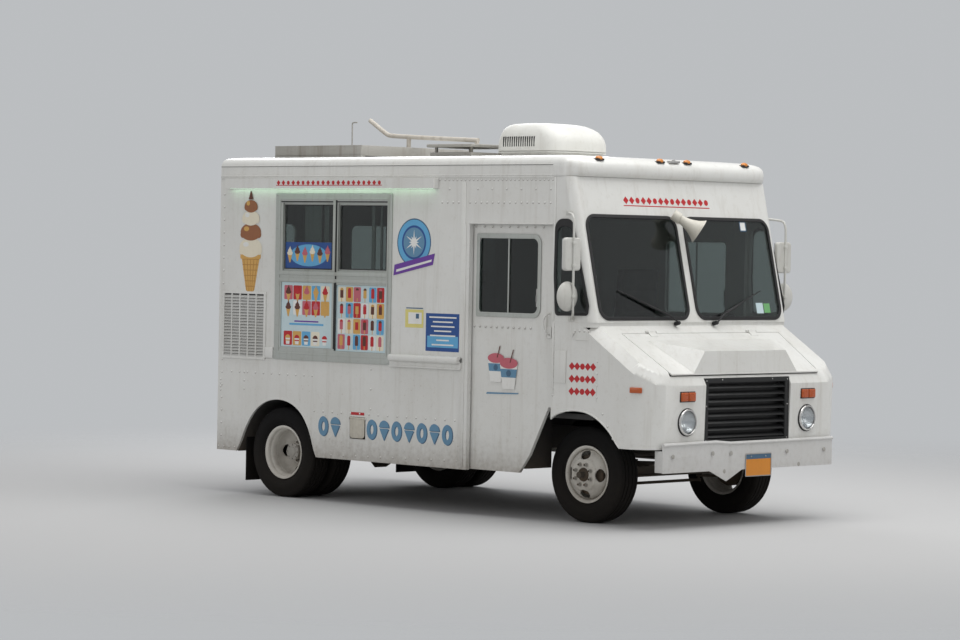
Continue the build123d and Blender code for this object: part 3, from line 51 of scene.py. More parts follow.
camera.matrix_world = Matrix.Translation((16.6115 + FRONT_AXLE_X, -19.2585, 2.0736)) @ Matrix(
    (camera_right, camera_up, -look)).transposed().to_4x4()
camera.data.lens = 121.72
camera.data.sensor_width = 36
camera.data.clip_end = 200
bpy.context.scene.camera = camera
bpy.context.scene.view_settings.view_transform = "Standard"

# Pale studio floor and an even grey-white sky light, with four broad lamps: a strong one
# overhead, and weaker ones before the nose, on the serving side and behind.
bpy.ops.object.select_all(action="DESELECT")
bpy.ops.mesh.primitive_circle_add(vertices=96, radius=24, fill_type="NGON")
studio_floor = bpy.context.object
studio_floor.name = "studio_floor"
floor_look = bpy.data.materials.new("studio_floor")
floor_look.use_nodes = True
floor_shader = floor_look.node_tree.nodes["Principled BSDF"]
floor_shader.inputs["Base Color"].default_value = (0.5, 0.5, 0.5, 1)
floor_shader.inputs["Roughness"].default_value = 0.9
floor_place = floor_look.node_tree.nodes.new("ShaderNodeTexCoord")
floor_reach = floor_look.node_tree.nodes.new("ShaderNodeVectorMath")
floor_reach.operation = "LENGTH"
floor_fade = floor_look.node_tree.nodes.new("ShaderNodeMapRange")
floor_fade.interpolation_type = "SMOOTHERSTEP"
floor_look.node_tree.links.new(floor_place.outputs["Object"], floor_reach.inputs[0])
floor_look.node_tree.links.new(floor_reach.outputs["Value"], floor_fade.inputs["Value"])
for fade_input, fade_value in (("From Min", 3.2), ("From Max", 13.0), ("To Min", 1.0), ("To Max", 0.0)):
    floor_fade.inputs[fade_input].default_value = fade_value
floor_look.node_tree.links.new(floor_fade.outputs[0], floor_shader.inputs["Alpha"])
studio_floor.data.materials.append(floor_look)

world = bpy.data.worlds.new("studio")
bpy.context.scene.world = world
world.use_nodes = True
sky = world.node_tree
sky.nodes.clear()
sky_out = sky.nodes.new("ShaderNodeOutputWorld")
sky_light = sky.nodes.new("ShaderNodeBackground")
sky_light.inputs["Color"].default_value = (0.98, 0.985, 1.0, 1)
sky_light.inputs["Strength"].default_value = 0.5
sky_seen = sky.nodes.new("ShaderNodeBackground")
sky_seen.inputs["Color"].default_value = (0.5, 0.515, 0.53, 1)
sky_seen.inputs["Strength"].default_value = 1.0
sky_mix = sky.nodes.new("ShaderNodeMixShader")
sky_rays = sky.nodes.new("ShaderNodeLightPath")
ray_sum = sky.nodes.new("ShaderNodeMath")
ray_sum.operation = "MAXIMUM"
sky.links.new(sky_rays.outputs["Is Camera Ray"], ray_sum.inputs[0])
sky.links.new(sky_rays.outputs["Is Transmission Ray"], ray_sum.inputs[1])
sky.links.new(ray_sum.outputs[0], sky_mix.inputs[0])
sky.links.new(sky_light.outputs[0], sky_mix.inputs[1])
sky.links.new(sky_seen.outputs[0], sky_mix.inputs[2])
sky.links.new(sky_mix.outputs[0], sky_out.inputs[0])

for name, place, size, watts, tint in (
    ("lamp_overhead", (2.5, 0.5, 9.5), 9.0, 720, (1.0, 1.0, 0.99)),
    ("lamp_nose", (11.0, 1.5, 6.0), 5.0, 110, (1.0, 0.99, 0.96)),
    ("lamp_serving_side", (0.0, -12.0, 5.0), 6.0, 130, (1.0, 0.99, 0.97)),
    ("lamp_back", (-9.0, 7.0, 6.0), 6.0, 380, (0.97, 0.98, 1.0)),
):
    lamp = bpy.data.objects.new(name, bpy.data.lights.new(name, "AREA"))
    bpy.context.scene.collection.objects.link(lamp)
    lamp.data.energy = watts
    lamp.data.size = size
    lamp.data.color = tint
    lamp.matrix_world = Matrix.Translation(place) @ (Vector((0, 0, 1.4)) - Vector(place)).to_track_quat(
        "-Z", "Y").to_matrix().to_4x4()

# White enamel of the body shell: brushed over many times, mottled, streaked below the eaves,
# brown with road dirt along the skirts, and rusty in small spots there.
def wire(tree, output, socket):
    """Joins an output, or puts a plain value, to a node's input."""
    if isinstance(output, bpy.types.NodeSocket):
        tree.links.new(output, socket)
    else:
        socket.default_value = output


def node(tree, kind, inputs=None, **settings):
    made = tree.nodes.new("ShaderNode" + kind)
    for key, value in settings.items():
        setattr(made, key, value)
    for key, value in (inputs or {}).items():
        wire(tree, value, made.inputs[key])
    return made


def blend_colours(tree, mask, low, high, mode="MIX"):
    mix = node(tree, "Mix", data_type="RGBA", blend_type=mode)
    wire(tree, mask, mix.inputs[0])
    wire(tree, low, mix.inputs[6])
    wire(tree, high, mix.inputs[7])
    return mix.outputs[2]


def sum_of(tree, first, second, operation="ADD", clamp=False):
    made = node(tree, "Math", operation=operation, use_clamp=clamp)
    wire(tree, first, made.inputs[0])
    wire(tree, second, made.inputs[1])
    return made.outputs[0]


def span(tree, value, low, high, out_low=0.0, out_high=1.0):
    """Maps a value from low..high to out_low..out_high, clamped."""
    made = node(tree, "MapRange", clamp=True)
    for socket, number in zip(made.inputs, (value, low, high, out_low, out_high)):
        wire(tree, number, socket)
    return made.outputs[0]


def new_group(name, inputs, outputs):
    group = bpy.data.node_groups.new(name, "ShaderNodeTree")
    for kind, sockets in (("INPUT", inputs), ("OUTPUT", outputs)):
        for label, socket_type, value in sockets:
            socket = group.interface.new_socket(label, in_out=kind, socket_type="NodeSocket" + socket_type)
            if value is not None:
                socket.default_value = value
    return group, group.nodes.new("NodeGroupInput"), group.nodes.new("NodeGroupOutput")


weathering, wear_in, wear_out = new_group(
    "weathering",
    [("Colour", "Color", (0.8, 0.8, 0.8, 1)), ("Dirt Colour", "Color", (0.16, 0.12, 0.08, 1)),
     ("Rust Colour", "Color", (0.22, 0.07, 0.02, 1)), ("Dirt Top", "Float", 0.9), ("Dirt", "Float", 0.7),
     ("Streaks", "Float", 0.25), ("Rust", "Float", 0.3), ("Roughness", "Float", 0.4)],
    [("Colour", "Color", None), ("Roughness", "Float", None), ("Height", "Float", None)],
)
place = node(weathering, "TexCoord").outputs["Object"]
height = node(weathering, "SeparateXYZ", {0: place}).outputs[2]
broad = node(weathering, "TexNoise", {"Vector": place, "Scale": 1.7, "Detail": 4.0,
                                      "Roughness": 0.6}).outputs["Fac"]
fine = node(weathering, "TexNoise", {"Vector": place, "Scale": 23.0, "Detail": 6.0,
                                     "Roughness": 0.65}).outputs["Fac"]
tall = node(weathering, "Mapping", {"Vector": place, "Scale": (9.0, 9.0, 0.55)}).outputs[0]
runs = node(weathering, "TexNoise", {"Vector": tall, "Scale": 1.6, "Detail": 5.0,
                                     "Roughness": 0.7}).outputs["Fac"]
spots = node(weathering, "TexVoronoi",
             {"Vector": place, "Scale": 26.0, "Randomness": 1.0}).outputs["Distance"]
ground = span(weathering, height, 0.28, wear_in.outputs["Dirt Top"], 1.0, 0.0)
ground_noise = sum_of(weathering, ground, sum_of(weathering, fine, 0.62, "SUBTRACT"), "ADD", True)
ground_mask = sum_of(weathering, sum_of(weathering, ground_noise, wear_in.outputs["Dirt"], "MULTIPLY"),
                     ground, "MULTIPLY", True)
run_mask = sum_of(weathering, span(weathering, runs, 0.52, 0.8), wear_in.outputs["Streaks"], "MULTIPLY",
                  True)
rust_edge = sum_of(weathering, span(weathering, spots, 0.05, 0.16, 1.0, 0.0),
                   span(weathering, broad, 0.5, 0.66), "MULTIPLY")
rust_low = span(weathering, height, 0.35, 1.3, 1.0, 0.12)
rust_mask = sum_of(weathering, sum_of(weathering, rust_edge, rust_low, "MULTIPLY"), wear_in.outputs["Rust"],
                   "MULTIPLY", True)
mottled = blend_colours(weathering, span(weathering, broad, 0.35, 0.7, 0.0, 0.22),
                        wear_in.outputs["Colour"], (0.66, 0.63, 0.56, 1), "MULTIPLY")
mottled = blend_colours(weathering, span(weathering, fine, 0.55, 0.8, 0.0, 0.25), mottled,
                        (0.6, 0.55, 0.47, 1), "MULTIPLY")
streaked = blend_colours(weathering, run_mask, mottled, (0.5, 0.44, 0.36, 1), "MULTIPLY")
dirty = blend_colours(weathering, ground_mask, streaked, wear_in.outputs["Dirt Colour"])
rusty = blend_colours(weathering, rust_mask, dirty, wear_in.outputs["Rust Colour"])
wire(weathering, rusty, wear_out.inputs["Colour"])
rough = sum_of(weathering, wear_in.outputs["Roughness"], sum_of(weathering, ground_mask, 0.4, "MULTIPLY"))
rough = sum_of(weathering, rough, sum_of(weathering, fine, 0.12, "MULTIPLY"), "ADD", True)
wire(weathering, rough, wear_out.inputs["Roughness"])
relief = sum_of(weathering, sum_of(weathering, broad, 1.0, "MULTIPLY"),
                sum_of(weathering, fine, 0.1, "MULTIPLY"))
relief = sum_of(weathering, relief, sum_of(weathering, rust_mask, 0.15, "MULTIPLY"))
wire(weathering, relief, wear_out.inputs["Height"])


def new_look(name):
    """A new material, with its node tree and its shader."""
    look = bpy.data.materials.new(name)
    look.use_nodes = True
    return look, look.node_tree, look.node_tree.nodes["Principled BSDF"]


def weathered(name, colour, roughness=0.4, metallic=0.0, top=0.9, dirt=0.7, streaks=0.25, rust=0.3,
              bump=0.25, bump_size=0.012, dirt_colour=(0.16, 0.12, 0.08), coat=0.0):
    """A material whose colour, roughness and relief come from the weathering group."""
    look, tree, shader = new_look(name)
    wear = node(tree, "Group", node_tree=weathering)
    for label, value in (("Colour", (*colour, 1)), ("Dirt Colour", (*dirt_colour, 1)), ("Dirt Top", top),
                         ("Dirt", dirt), ("Streaks", streaks), ("Rust", rust), ("Roughness", roughness)):
        wear.inputs[label].default_value = value
    bumped = node(tree, "Bump", {"Strength": bump, "Distance": bump_size, "Height": wear.outputs["Height"]})
    wire(tree, wear.outputs["Colour"], shader.inputs["Base Color"])
    wire(tree, wear.outputs["Roughness"], shader.inputs["Roughness"])
    wire(tree, bumped.outputs[0], shader.inputs["Normal"])
    shader.inputs["Metallic"].default_value = metallic
    shader.inputs["Coat Weight"].default_value = coat
    return look


def dress(look, *names):
    """Gives a material to CAD nodes whose own shape is right."""
    for name in names:
        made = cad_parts[name]
        made.data.materials.clear()
        made.data.materials.append(look)


enamel = weathered("white_enamel", (0.73, 0.73, 0.705), 0.32, top=0.75, dirt=0.85, streaks=0.3, rust=0.9,
                   coat=0.25)
dress(enamel, "side_wall_left", "side_wall_right", "roof", "cab_shell", "nose", "hood", "rear_wall",
      "door_left", "door_right", "rear_door_left", "rear_door_right", "service_light", "vent_grille",
      "fuel_flap", "counter_ledge")
black_paint = weathered("chassis_black", (0.035, 0.034, 0.033), 0.6, dirt=0.9, streaks=0.0, rust=0.6,
                        dirt_colour=(0.11, 0.085, 0.06))
dress(black_paint, "frame", "front_axle", "rear_axle", "leaf_springs", "knuckle_left", "knuckle_right",
      "tie_rod", "fuel_tank", "engine", "exhaust", "floor", "grille", "wipers", "dashboard",
      "steering_wheel")
rim_paint = weathered("rim_white", (0.72, 0.7, 0.65), 0.5, top=0.9, dirt=0.45, streaks=0.0, rust=0.7)
dress(rim_paint, "wheel_front_left", "wheel_front_right", "wheels_rear_left", "wheels_rear_right")
tyre_rubber = weathered("tyre_rubber", (0.0085, 0.0085, 0.009), 0.8, dirt=0.06, streaks=0.0, rust=0.0)
tyre_rubber.node_tree.nodes["Principled BSDF"].inputs["Specular IOR Level"].default_value = 0.14
dress(tyre_rubber, "tyre_front_left", "tyre_front_right", "tyres_rear_left", "tyres_rear_right", "mudflaps",
      "window_gaskets", "driver_seat")
bumper_paint = weathered("bumper_white", (0.66, 0.66, 0.65), 0.45, top=0.9, dirt=0.35, streaks=0.1,
                         rust=0.5)
dress(bumper_paint, "front_bumper")
steel = weathered("worn_steel", (0.5, 0.5, 0.49), 0.35, metallic=0.85, dirt=0.3, streaks=0.1, rust=0.1)
dress(steel, "counters", "soft_serve_machine", "mirrors", "serving_window_frame", "roof_gear")
plastic = weathered("aged_plastic", (0.72, 0.71, 0.66), 0.5, dirt=0.2, streaks=0.3, rust=0.0)
dress(plastic, "air_conditioner", "loudspeaker", "signs", "headlamps")


def pane_look(name, tint, roughness=0.03):
    """A clear glass with a tint."""
    look, _, shader = new_look(name)
    for label, value in (("Base Color", (*tint, 1)), ("Roughness", roughness), ("Transmission Weight", 1.0),
                         ("IOR", 1.45)):
        shader.inputs[label].default_value = value
    return look


dark_glass = pane_look("tinted_glass", (0.34, 0.39, 0.38))
dress(dark_glass, "cab_glass", "door_glass_left", "door_glass_right", "rear_glass_left", "rear_glass_right",
      "serving_glass", "mirror_glass")
amber = weathered("amber_lens", (0.55, 0.1, 0.008), 0.2, dirt=0.1, streaks=0.0, rust=0.0)
dress(amber, "amber_lamps")
red_lens = weathered("red_lens", (0.5, 0.01, 0.01), 0.2, dirt=0.1, streaks=0.0, rust=0.0)
dress(red_lens, "tail_lamps")

# Tyres: black rubber road tyres, 225 wide on 16 inch rims, turned from one section with
# two ribs on the wall, and a tread of plain ribs between four grooves.
def deselect():
    """Leaves no object selected."""
    bpy.ops.object.select_all(action="DESELECT")


def only(piece):
    """Selects one piece and makes it the active one."""
    deselect()
    piece.select_set(True)
    bpy.context.view_layer.objects.active = piece
    return piece


def modify(piece, kind, **settings):
    """Adds a modifier and applies it."""
    only(piece)
    made = piece.modifiers.new(kind.lower(), kind)
    for key, value in settings.items():
        setattr(made, key, value)
    bpy.ops.object.modifier_apply(modifier=made.name)
    return piece


def smooth(piece, angle=32):
    only(piece)
    bpy.ops.object.shade_smooth_by_angle(angle=math.radians(angle))
    return piece


def apply_place(piece):
    only(piece)
    bpy.ops.object.transform_apply(location=True, rotation=True, scale=True)
    return piece


def curve_piece(lines, cyclic=False, radius=0.0, resolution=3, smooth_line=False):
    """A curve through lists of points, made a mesh: a wire, or a round bar where radius is given."""
    data = bpy.data.curves.new("line", "CURVE")
    data.dimensions = "3D"
    data.bevel_depth = radius
    data.bevel_resolution = resolution
    data.use_fill_caps = not cyclic
    for points in lines:
        spline = data.splines.new("NURBS" if smooth_line else "POLY")
        spline.points.add(len(points) - 1)
        for spot, point in zip(spline.points, points):
            spot.co = (*point, 1)
        spline.use_cyclic_u = cyclic
        if smooth_line:
            spline.use_endpoint_u = not cyclic
            spline.order_u = 3
            spline.resolution_u = 8
    piece = bpy.data.objects.new("line", data)
    bpy.context.scene.collection.objects.link(piece)
    only(piece)
    bpy.ops.object.convert(target="MESH")
    return piece


def edited(piece, *steps, action="SELECT"):
    """Takes a piece into edit mode with all of it selected or not, and runs the steps there."""
    only(piece)
    bpy.ops.object.mode_set(mode="EDIT")
    bpy.ops.mesh.select_all(action=action)
    for step, settings in steps:
        step(**settings)
    bpy.ops.object.mode_set(mode="OBJECT")
    return piece


def outward(piece):
    """Merges doubled points and turns every face outwards."""
    return edited(piece, (bpy.ops.mesh.remove_doubles, {"threshold": 0.00005}),
                  (bpy.ops.mesh.normals_make_consistent, {"inside": False}))


def turned_to(direction, spot=(0, 0, 0)):
    """The place at a spot whose z axis points in a direction."""
    turn = Vector((0, 0, 1)).rotation_difference(Vector(direction))
    return Matrix.Translation(spot) @ turn.to_matrix().to_4x4()


def turned(section, centre=(0, 0, 0), axis=(0, 1, 0), steps=64, closed=True):
    """A section of (radius, distance along the axis) points, turned right round the axis."""
    piece = curve_piece([[(r, 0, t) for r, t in section]], cyclic=closed)
    modify(piece, "SCREW", angle=math.tau, steps=steps, render_steps=steps, axis="Z", screw_offset=0,
           use_merge_vertices=True, merge_threshold=0.0001)
    piece.matrix_world = turned_to(axis, centre)
    return outward(apply_place(piece))


def box_piece(x0, x1, y0, y1, z0, z1, edge=0.0, segments=2):
    """A block between two corners, its edges rounded by a bevel."""
    deselect()
    bpy.ops.mesh.primitive_cube_add(size=1, location=((x0 + x1) / 2, (y0 + y1) / 2, (z0 + z1) / 2))
    piece = bpy.context.object
    piece.scale = (abs(x1 - x0), abs(y1 - y0), abs(z1 - z0))
    apply_place(piece)
    if edge:
        modify(piece, "BEVEL", width=edge, segments=segments, limit_method="NONE")
    return piece


def axle_box(x0, x1, *rest):
    """A block whose x is measured from the front axle."""
    return box_piece(FRONT_AXLE_X + x0, FRONT_AXLE_X + x1, *rest)


def from_axle(*points):
    """A list of points whose x is measured from the front axle."""
    return [(FRONT_AXLE_X + x, y, z) for x, y, z in points]


def joined(pieces):
    """One mesh made of all the pieces."""
    deselect()
    for piece in pieces:
        piece.select_set(True)
    bpy.context.view_layer.objects.active = pieces[0]
    if len(pieces) > 1:
        bpy.ops.object.join()
    return bpy.context.object


def twin_of(piece, move):
    """A copy of a piece with its own mesh, moved by a matrix."""
    twin = piece.copy()
    twin.data = piece.data.copy()
    bpy.context.scene.collection.objects.link(twin)
    twin.matrix_world = move @ piece.matrix_world
    return apply_place(twin)


def copies(piece, places):
    """Copies of a piece, moved by a vector or placed by a matrix, all joined; the piece itself goes."""
    made = []
    for spot in places:
        made.append(twin_of(piece, spot if isinstance(spot, Matrix) else Matrix.Translation(spot)))
    bpy.data.objects.remove(piece)
    return joined(made)


def mirrored(piece):
    """A copy of a piece on the other side of the truck."""
    twin = twin_of(piece, Matrix.Scale(-1, 4, (0, 1, 0)))
    return edited(twin, (bpy.ops.mesh.flip_normals, {}))


def both_sides(piece):
    """A piece and its mirrored copy, as one."""
    return joined([piece, mirrored(piece)])


def settle(piece, name, body, slot_name, look, *nodes):
    """Names a finished piece, gives it its material and fixes it to its body."""
    apply_place(piece)
    piece.name = name
    piece.data.name = name
    if look is not None:
        piece.data.materials.clear()
        piece.data.materials.append(look)
    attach(piece, body)
    if nodes:
        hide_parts(*nodes)
    return piece


def settle_pair(piece, name, body, slot_name, look):
    """Settles a piece on the right-hand one of two bodies and its mirrored copy on the left one."""
    settle(mirrored(piece), name + "_left", body + "_left", slot_name, look)
    settle(piece, name + "_right", body + "_right", slot_name, look)


HUB_Z = 0.371
RIM_HALF = 0.0875
FRONT_RIM_Y = 0.892 - RIM_HALF
REAR_RIM_Y = 1.123 - RIM_HALF
TWIN_STEP = 0.254
tyre_half = [(0.2035, 0.078), (0.2232, 0.0785), (0.236, 0.088), (0.248, 0.0985), (0.2505, 0.1008),
             (0.256, 0.1012), (0.262, 0.106), (0.28, 0.1103), (0.3, 0.1105), (0.305, 0.1092),
             (0.32, 0.1065), (0.338, 0.1005), (0.34, 0.1015), (0.35, 0.0985), (0.3615, 0.0915),
             (0.3675, 0.083), (0.3695, 0.078)]
for groove in (0.058, 0.022):
    tyre_half += [(0.3705, groove + 0.0042), (0.361, groove + 0.003), (0.361, groove - 0.003),
                  (0.3708, groove - 0.0042)]
tyre_section = tyre_half + [(r, -t) for r, t in reversed(tyre_half)]
tyre_spots = {
    "front_left": [(FRONT_AXLE_X, FRONT_RIM_Y, HUB_Z)],
    "front_right": [(FRONT_AXLE_X, -FRONT_RIM_Y, HUB_Z)],
    "rear_left": [(REAR_AXLE_X, REAR_RIM_Y, HUB_Z), (REAR_AXLE_X, REAR_RIM_Y - TWIN_STEP, HUB_Z)],
    "rear_right": [(REAR_AXLE_X, -REAR_RIM_Y, HUB_Z), (REAR_AXLE_X, TWIN_STEP - REAR_RIM_Y, HUB_Z)],
}
for corner, spots in tyre_spots.items():
    rings = joined([smooth(turned(tyre_section, spot, (0, 1, 0), 72), 40) for spot in spots])
    axle = "wheel_" if corner.startswith("front") else "wheels_"
    tyre_node = ("tyre_" if corner.startswith("front") else "tyres_") + corner
    settle(rings, "tyre_rings_" + corner, axle + corner, "tyre", tyre_rubber, tyre_node)

# Wheels: pressed steel discs on white rims, smooth turned forms with four oval hand holes,
# over the brake drums. The rear ones are pairs, back to back on one hub.
FRONT_FACE_Y = 0.9315
REAR_FACE_Y = 0.9085
HAND_HOLE_RADIUS = 0.034
HAND_HOLE_HEIGHT = 0.95
HAND_HOLE_WIDTH = 1.5
HAND_HOLE_CIRCLE = 0.149


def rim_ring(centre):
    """A rim's section: two flanges rolled outwards, bead seats and a well."""
    half = [(0.22, 0.0875), (0.2205, 0.085), (0.2195, 0.079), (0.215, 0.0755), (0.206, 0.074),
            (0.2032, 0.07), (0.2022, 0.042), (0.195, 0.033), (0.19, 0.028), (0.19, 0.0)]
    inner = [(0.2125, 0.0872), (0.2068, 0.083), (0.201, 0.079), (0.1972, 0.074), (0.1962, 0.048),
             (0.189, 0.04), (0.1835, 0.03), (0.1835, 0.0)]
    section = half + [(r, -t) for r, t in reversed(half[:-1])]
    section += [(r, -t) for r, t in inner[:-1]] + [(r, t) for r, t in reversed(inner)]
    return turned(section, centre, (0, 1, 0), 72)


def wheel_disc(centre, facing):
    """The dished disc, from the rim's well to its mounting face, with its hand holes cut."""
    outer = [(0.188, 0.012), (0.1895, 0.03), (0.186, 0.058), (0.179, 0.082), (0.164, 0.1), (0.142, 0.11),
             (0.129, 0.117), (0.123, 0.1255), (0.119, 0.127), (0.055, 0.127), (0.053, 0.1255)]
    inner = [(0.053, 0.118), (0.117, 0.118), (0.126, 0.109), (0.14, 0.102), (0.16, 0.092), (0.173, 0.076),
             (0.1795, 0.055), (0.182, 0.03), (0.182, 0.012)]
    disc = turned(outer + inner, (0, 0, 0), (0, 1, 0), 72)
    deselect()
    cutters = []
    for i in range(4):
        angle = math.tau * i / 4
        bpy.ops.mesh.primitive_cylinder_add(vertices=32, radius=HAND_HOLE_RADIUS, depth=0.2,
                                            rotation=(math.pi / 2, 0, 0),
                                            location=(HAND_HOLE_CIRCLE * math.cos(angle), 0.08,
                                                      HAND_HOLE_CIRCLE * math.sin(angle)))
        hole = bpy.context.object
        hole.scale = (HAND_HOLE_HEIGHT, 1.0, 1.0)
        cutters.append(apply_place(hole))
        for spot in hole.data.vertices:
            along = -spot.co.x * math.sin(angle) + spot.co.z * math.cos(angle)
            spot.co.x -= (HAND_HOLE_WIDTH - 1) * along * math.sin(angle)
            spot.co.z += (HAND_HOLE_WIDTH - 1) * along * math.cos(angle)
    cutter = joined(cutters)
    modify(disc, "BOOLEAN", object=cutter, operation="DIFFERENCE", solver="EXACT")
    bpy.data.objects.remove(cutter)
    disc.matrix_world = Matrix.Translation(centre) @ Matrix.Scale(facing, 4, (0, 1, 0))
    return outward(apply_place(disc))


drum_section = [(0.0, 0.0), (0.05, 0.0), (0.052, -0.03), (0.12, -0.034), (0.146, -0.04), (0.152, -0.048),
                (0.152, -0.115), (0.146, -0.12), (0.12, -0.12), (0.05, -0.11), (0.0, -0.11)]
drum_iron = weathered("drum_iron", (0.06, 0.05, 0.045), 0.7, metallic=0.3, dirt=0.8, streaks=0.0, rust=1.0)
for corner, side, axle_x in (("front_left", 1, FRONT_AXLE_X), ("front_right", -1, FRONT_AXLE_X),
                             ("rear_left", 1, REAR_AXLE_X), ("rear_right", -1, REAR_AXLE_X)):
    rear = corner.startswith("rear")
    if rear:
        centres = [(axle_x, side * REAR_RIM_Y, HUB_Z), (axle_x, side * (REAR_RIM_Y - TWIN_STEP), HUB_Z)]
        forms = [rim_ring(centre) for centre in centres]
        forms += [wheel_disc(centres[0], -side), wheel_disc(centres[1], side)]
        drum_face_y = REAR_FACE_Y - 0.016
    else:
        centre = (axle_x, side * FRONT_RIM_Y, HUB_Z)
        forms = [rim_ring(centre), wheel_disc(centre, side)]
        drum_face_y = FRONT_FACE_Y - 0.012
    body = ("wheels_" if rear else "wheel_") + corner
    drum_piece = turned(drum_section, (axle_x, side * drum_face_y, HUB_Z), (0, side, 0), 48, closed=False)
    settle(smooth(drum_piece, 35), "brake_drum_" + corner, body, "rim_paint", drum_iron)
    settle(smooth(joined(forms), 38), "wheel_form_" + corner, body, "rim_paint", rim_paint, body)

# Wheel furniture: eight nuts with washers and studs on each disc, a low dark centre in the
# front hubs, and the broad flange of the driving axle with its own bolts in the rear ones.
NUT_CIRCLE = 0.0825
REAR_NUT_Y = 0.9175
HUB_BOLT_CIRCLE = 0.058


def hexagon(radius, height, centre, axis=(0, 1, 0)):
    """A six-sided nut with its top edges chamfered."""
    deselect()
    bpy.ops.mesh.primitive_cylinder_add(vertices=6, radius=radius, depth=height)
    nut = bpy.context.object
    modify(nut, "BEVEL", width=radius * 0.16, segments=2, limit_method="ANGLE")
    nut.matrix_world = turned_to(axis, centre)
    return apply_place(nut)


nut_steel = weathered("nut_steel", (0.46, 0.45, 0.42), 0.5, metallic=0.3, dirt=0.4, streaks=0.0, rust=0.9)
for corner, y_face, axle_x in (("front_left", FRONT_FACE_Y, FRONT_AXLE_X),
                               ("front_right", -FRONT_FACE_Y, FRONT_AXLE_X),
                               ("rear_left", REAR_NUT_Y, REAR_AXLE_X),
                               ("rear_right", -REAR_NUT_Y, REAR_AXLE_X)):
    side = 1 if y_face > 0 else -1
    front = corner.startswith("front")
    parts, studs = [], []
    for i in range(8):
        angle = math.radians(22.5 + 45 * i)
        spot = Vector((axle_x + NUT_CIRCLE * math.cos(angle), y_face, HUB_Z + NUT_CIRCLE * math.sin(angle)))
        parts.append(turned([(0.006, -0.001), (0.0165, -0.001), (0.0165, 0.004), (0.012, 0.007),
                             (0.006, 0.007)], spot, (0, side, 0), 20))
        parts.append(hexagon(0.0125, 0.018, spot + Vector((0, side * 0.014, 0)), (0, side, 0)))
        studs.append(turned([(0.0, 0.031), (0.0055, 0.0305), (0.007, 0.028), (0.007, 0.02)], spot,
                            (0, side, 0), 12, closed=False))
    if front:
        hub_section = [(0.0, 0.01), (0.02, 0.009), (0.024, 0.004), (0.04, 0.003), (0.0445, 0.008),
                       (0.05, 0.008), (0.0525, 0.002), (0.0525, -0.008), (0.0, -0.008)]
        hub = turned(hub_section, (axle_x, y_face - side * 0.002, HUB_Z), (0, side, 0), 40, closed=False)
        settle(smooth(hub, 35), "hub_centre_" + corner, "wheel_" + corner, "iron", drum_iron)
    else:
        cap_section = [(0.0, 0.108), (0.02, 0.108), (0.036, 0.104), (0.04, 0.098), (0.07, 0.097),
                       (0.071, 0.085), (0.052, 0.082), (0.052, 0.0), (0.0, 0.0)]
        parts.append(turned(cap_section, (axle_x, y_face + side * 0.006, HUB_Z), (0, side, 0), 40,
                            closed=False))
        for i in range(8):
            angle = math.tau * i / 8
            parts.append(hexagon(0.007, 0.01,
                                 (axle_x + HUB_BOLT_CIRCLE * math.cos(angle), y_face + side * 0.108,
                                  HUB_Z + HUB_BOLT_CIRCLE * math.sin(angle)), (0, side, 0)))
    carrier = ("wheel_" if front else "wheels_") + corner
    settle(smooth(joined(studs), 40), "wheel_studs_" + corner, carrier, "iron", drum_iron)
    furniture = smooth(joined(parts), 35)
    settle(furniture, "wheel_nuts_" + corner, carrier, "rim_paint", nut_steel)

# Flat pieces of sheet are cut from an outline with its holes, given their thickness and a soft edge, and
# stood on the side, the front or the raked windscreen.
def plate(outlines, thickness, place, edge=0.0, resolution=2):
    """A flat piece from an outline and its holes, which stands out from a place by its thickness."""
    data = bpy.data.curves.new("plate", "CURVE")
    data.dimensions = "2D"
    data.fill_mode = "BOTH"
    data.extrude = thickness / 2 - edge
    data.bevel_depth = edge
    data.bevel_resolution = resolution
    data.offset = -edge
    for outline in outlines:
        spline = data.splines.new("POLY")
        spline.points.add(len(outline) - 1)
        for spot, (u, v) in zip(spline.points, outline):
            spot.co = (u, v, 0, 1)
        spline.use_cyclic_u = True
    piece = bpy.data.objects.new("plate", data)
    bpy.context.scene.collection.objects.link(piece)
    only(piece)
    bpy.ops.object.convert(target="MESH")
    piece = bpy.context.object
    piece.matrix_world = place @ Matrix.Translation((0, 0, thickness / 2))
    return outward(apply_place(piece))


def rect(u0, u1, v0, v1):
    return [(u0, v0), (u1, v0), (u1, v1), (u0, v1)]


def rounded(points, radius, steps=6):
    """An outline with its corners turned into arcs; radius is one number or one for each corner."""
    outline = []
    for i, corner in enumerate(points):
        r = radius[i] if isinstance(radius, (list, tuple)) else radius
        here = Vector(corner)
        back = (Vector(points[i - 1]) - here).normalized()
        on = (Vector(points[(i + 1) % len(points)]) - here).normalized()
        if r <= 0:
            outline.append(tuple(here))
            continue
        half = back.angle(on) / 2
        centre = here + (back + on).normalized() * (r / math.sin(half))
        start = here + back * (r / math.tan(half)) - centre
        end = here + on * (r / math.tan(half)) - centre
        first = math.atan2(start.y, start.x)
        turn = (math.atan2(end.y, end.x) - first + math.pi) % math.tau - math.pi
        for k in range(steps + 1):
            angle = first + turn * k / steps
            outline.append((centre.x + r * math.cos(angle), centre.y + r * math.sin(angle)))
    return outline


def oval(u, v, ru, rv, steps=24, start=0.0, sweep=math.tau):
    """An ellipse, or an arc of it, as an outline."""
    count = steps if sweep >= math.tau - 0.001 else steps + 1
    return [(u + ru * math.cos(start + sweep * k / steps), v + rv * math.sin(start + sweep * k / steps))
            for k in range(count)]


def on_side(y):
    """Along +X and up, facing the serving side."""
    return Matrix(((1, 0, 0, 0), (0, 0, -1, y), (0, 1, 0, 0), (0, 0, 0, 1)))


def on_front(x):
    """Along +Y and up, facing forwards."""
    return Matrix(((0, 0, 1, x), (1, 0, 0, 0), (0, 1, 0, 0), (0, 0, 0, 1)))


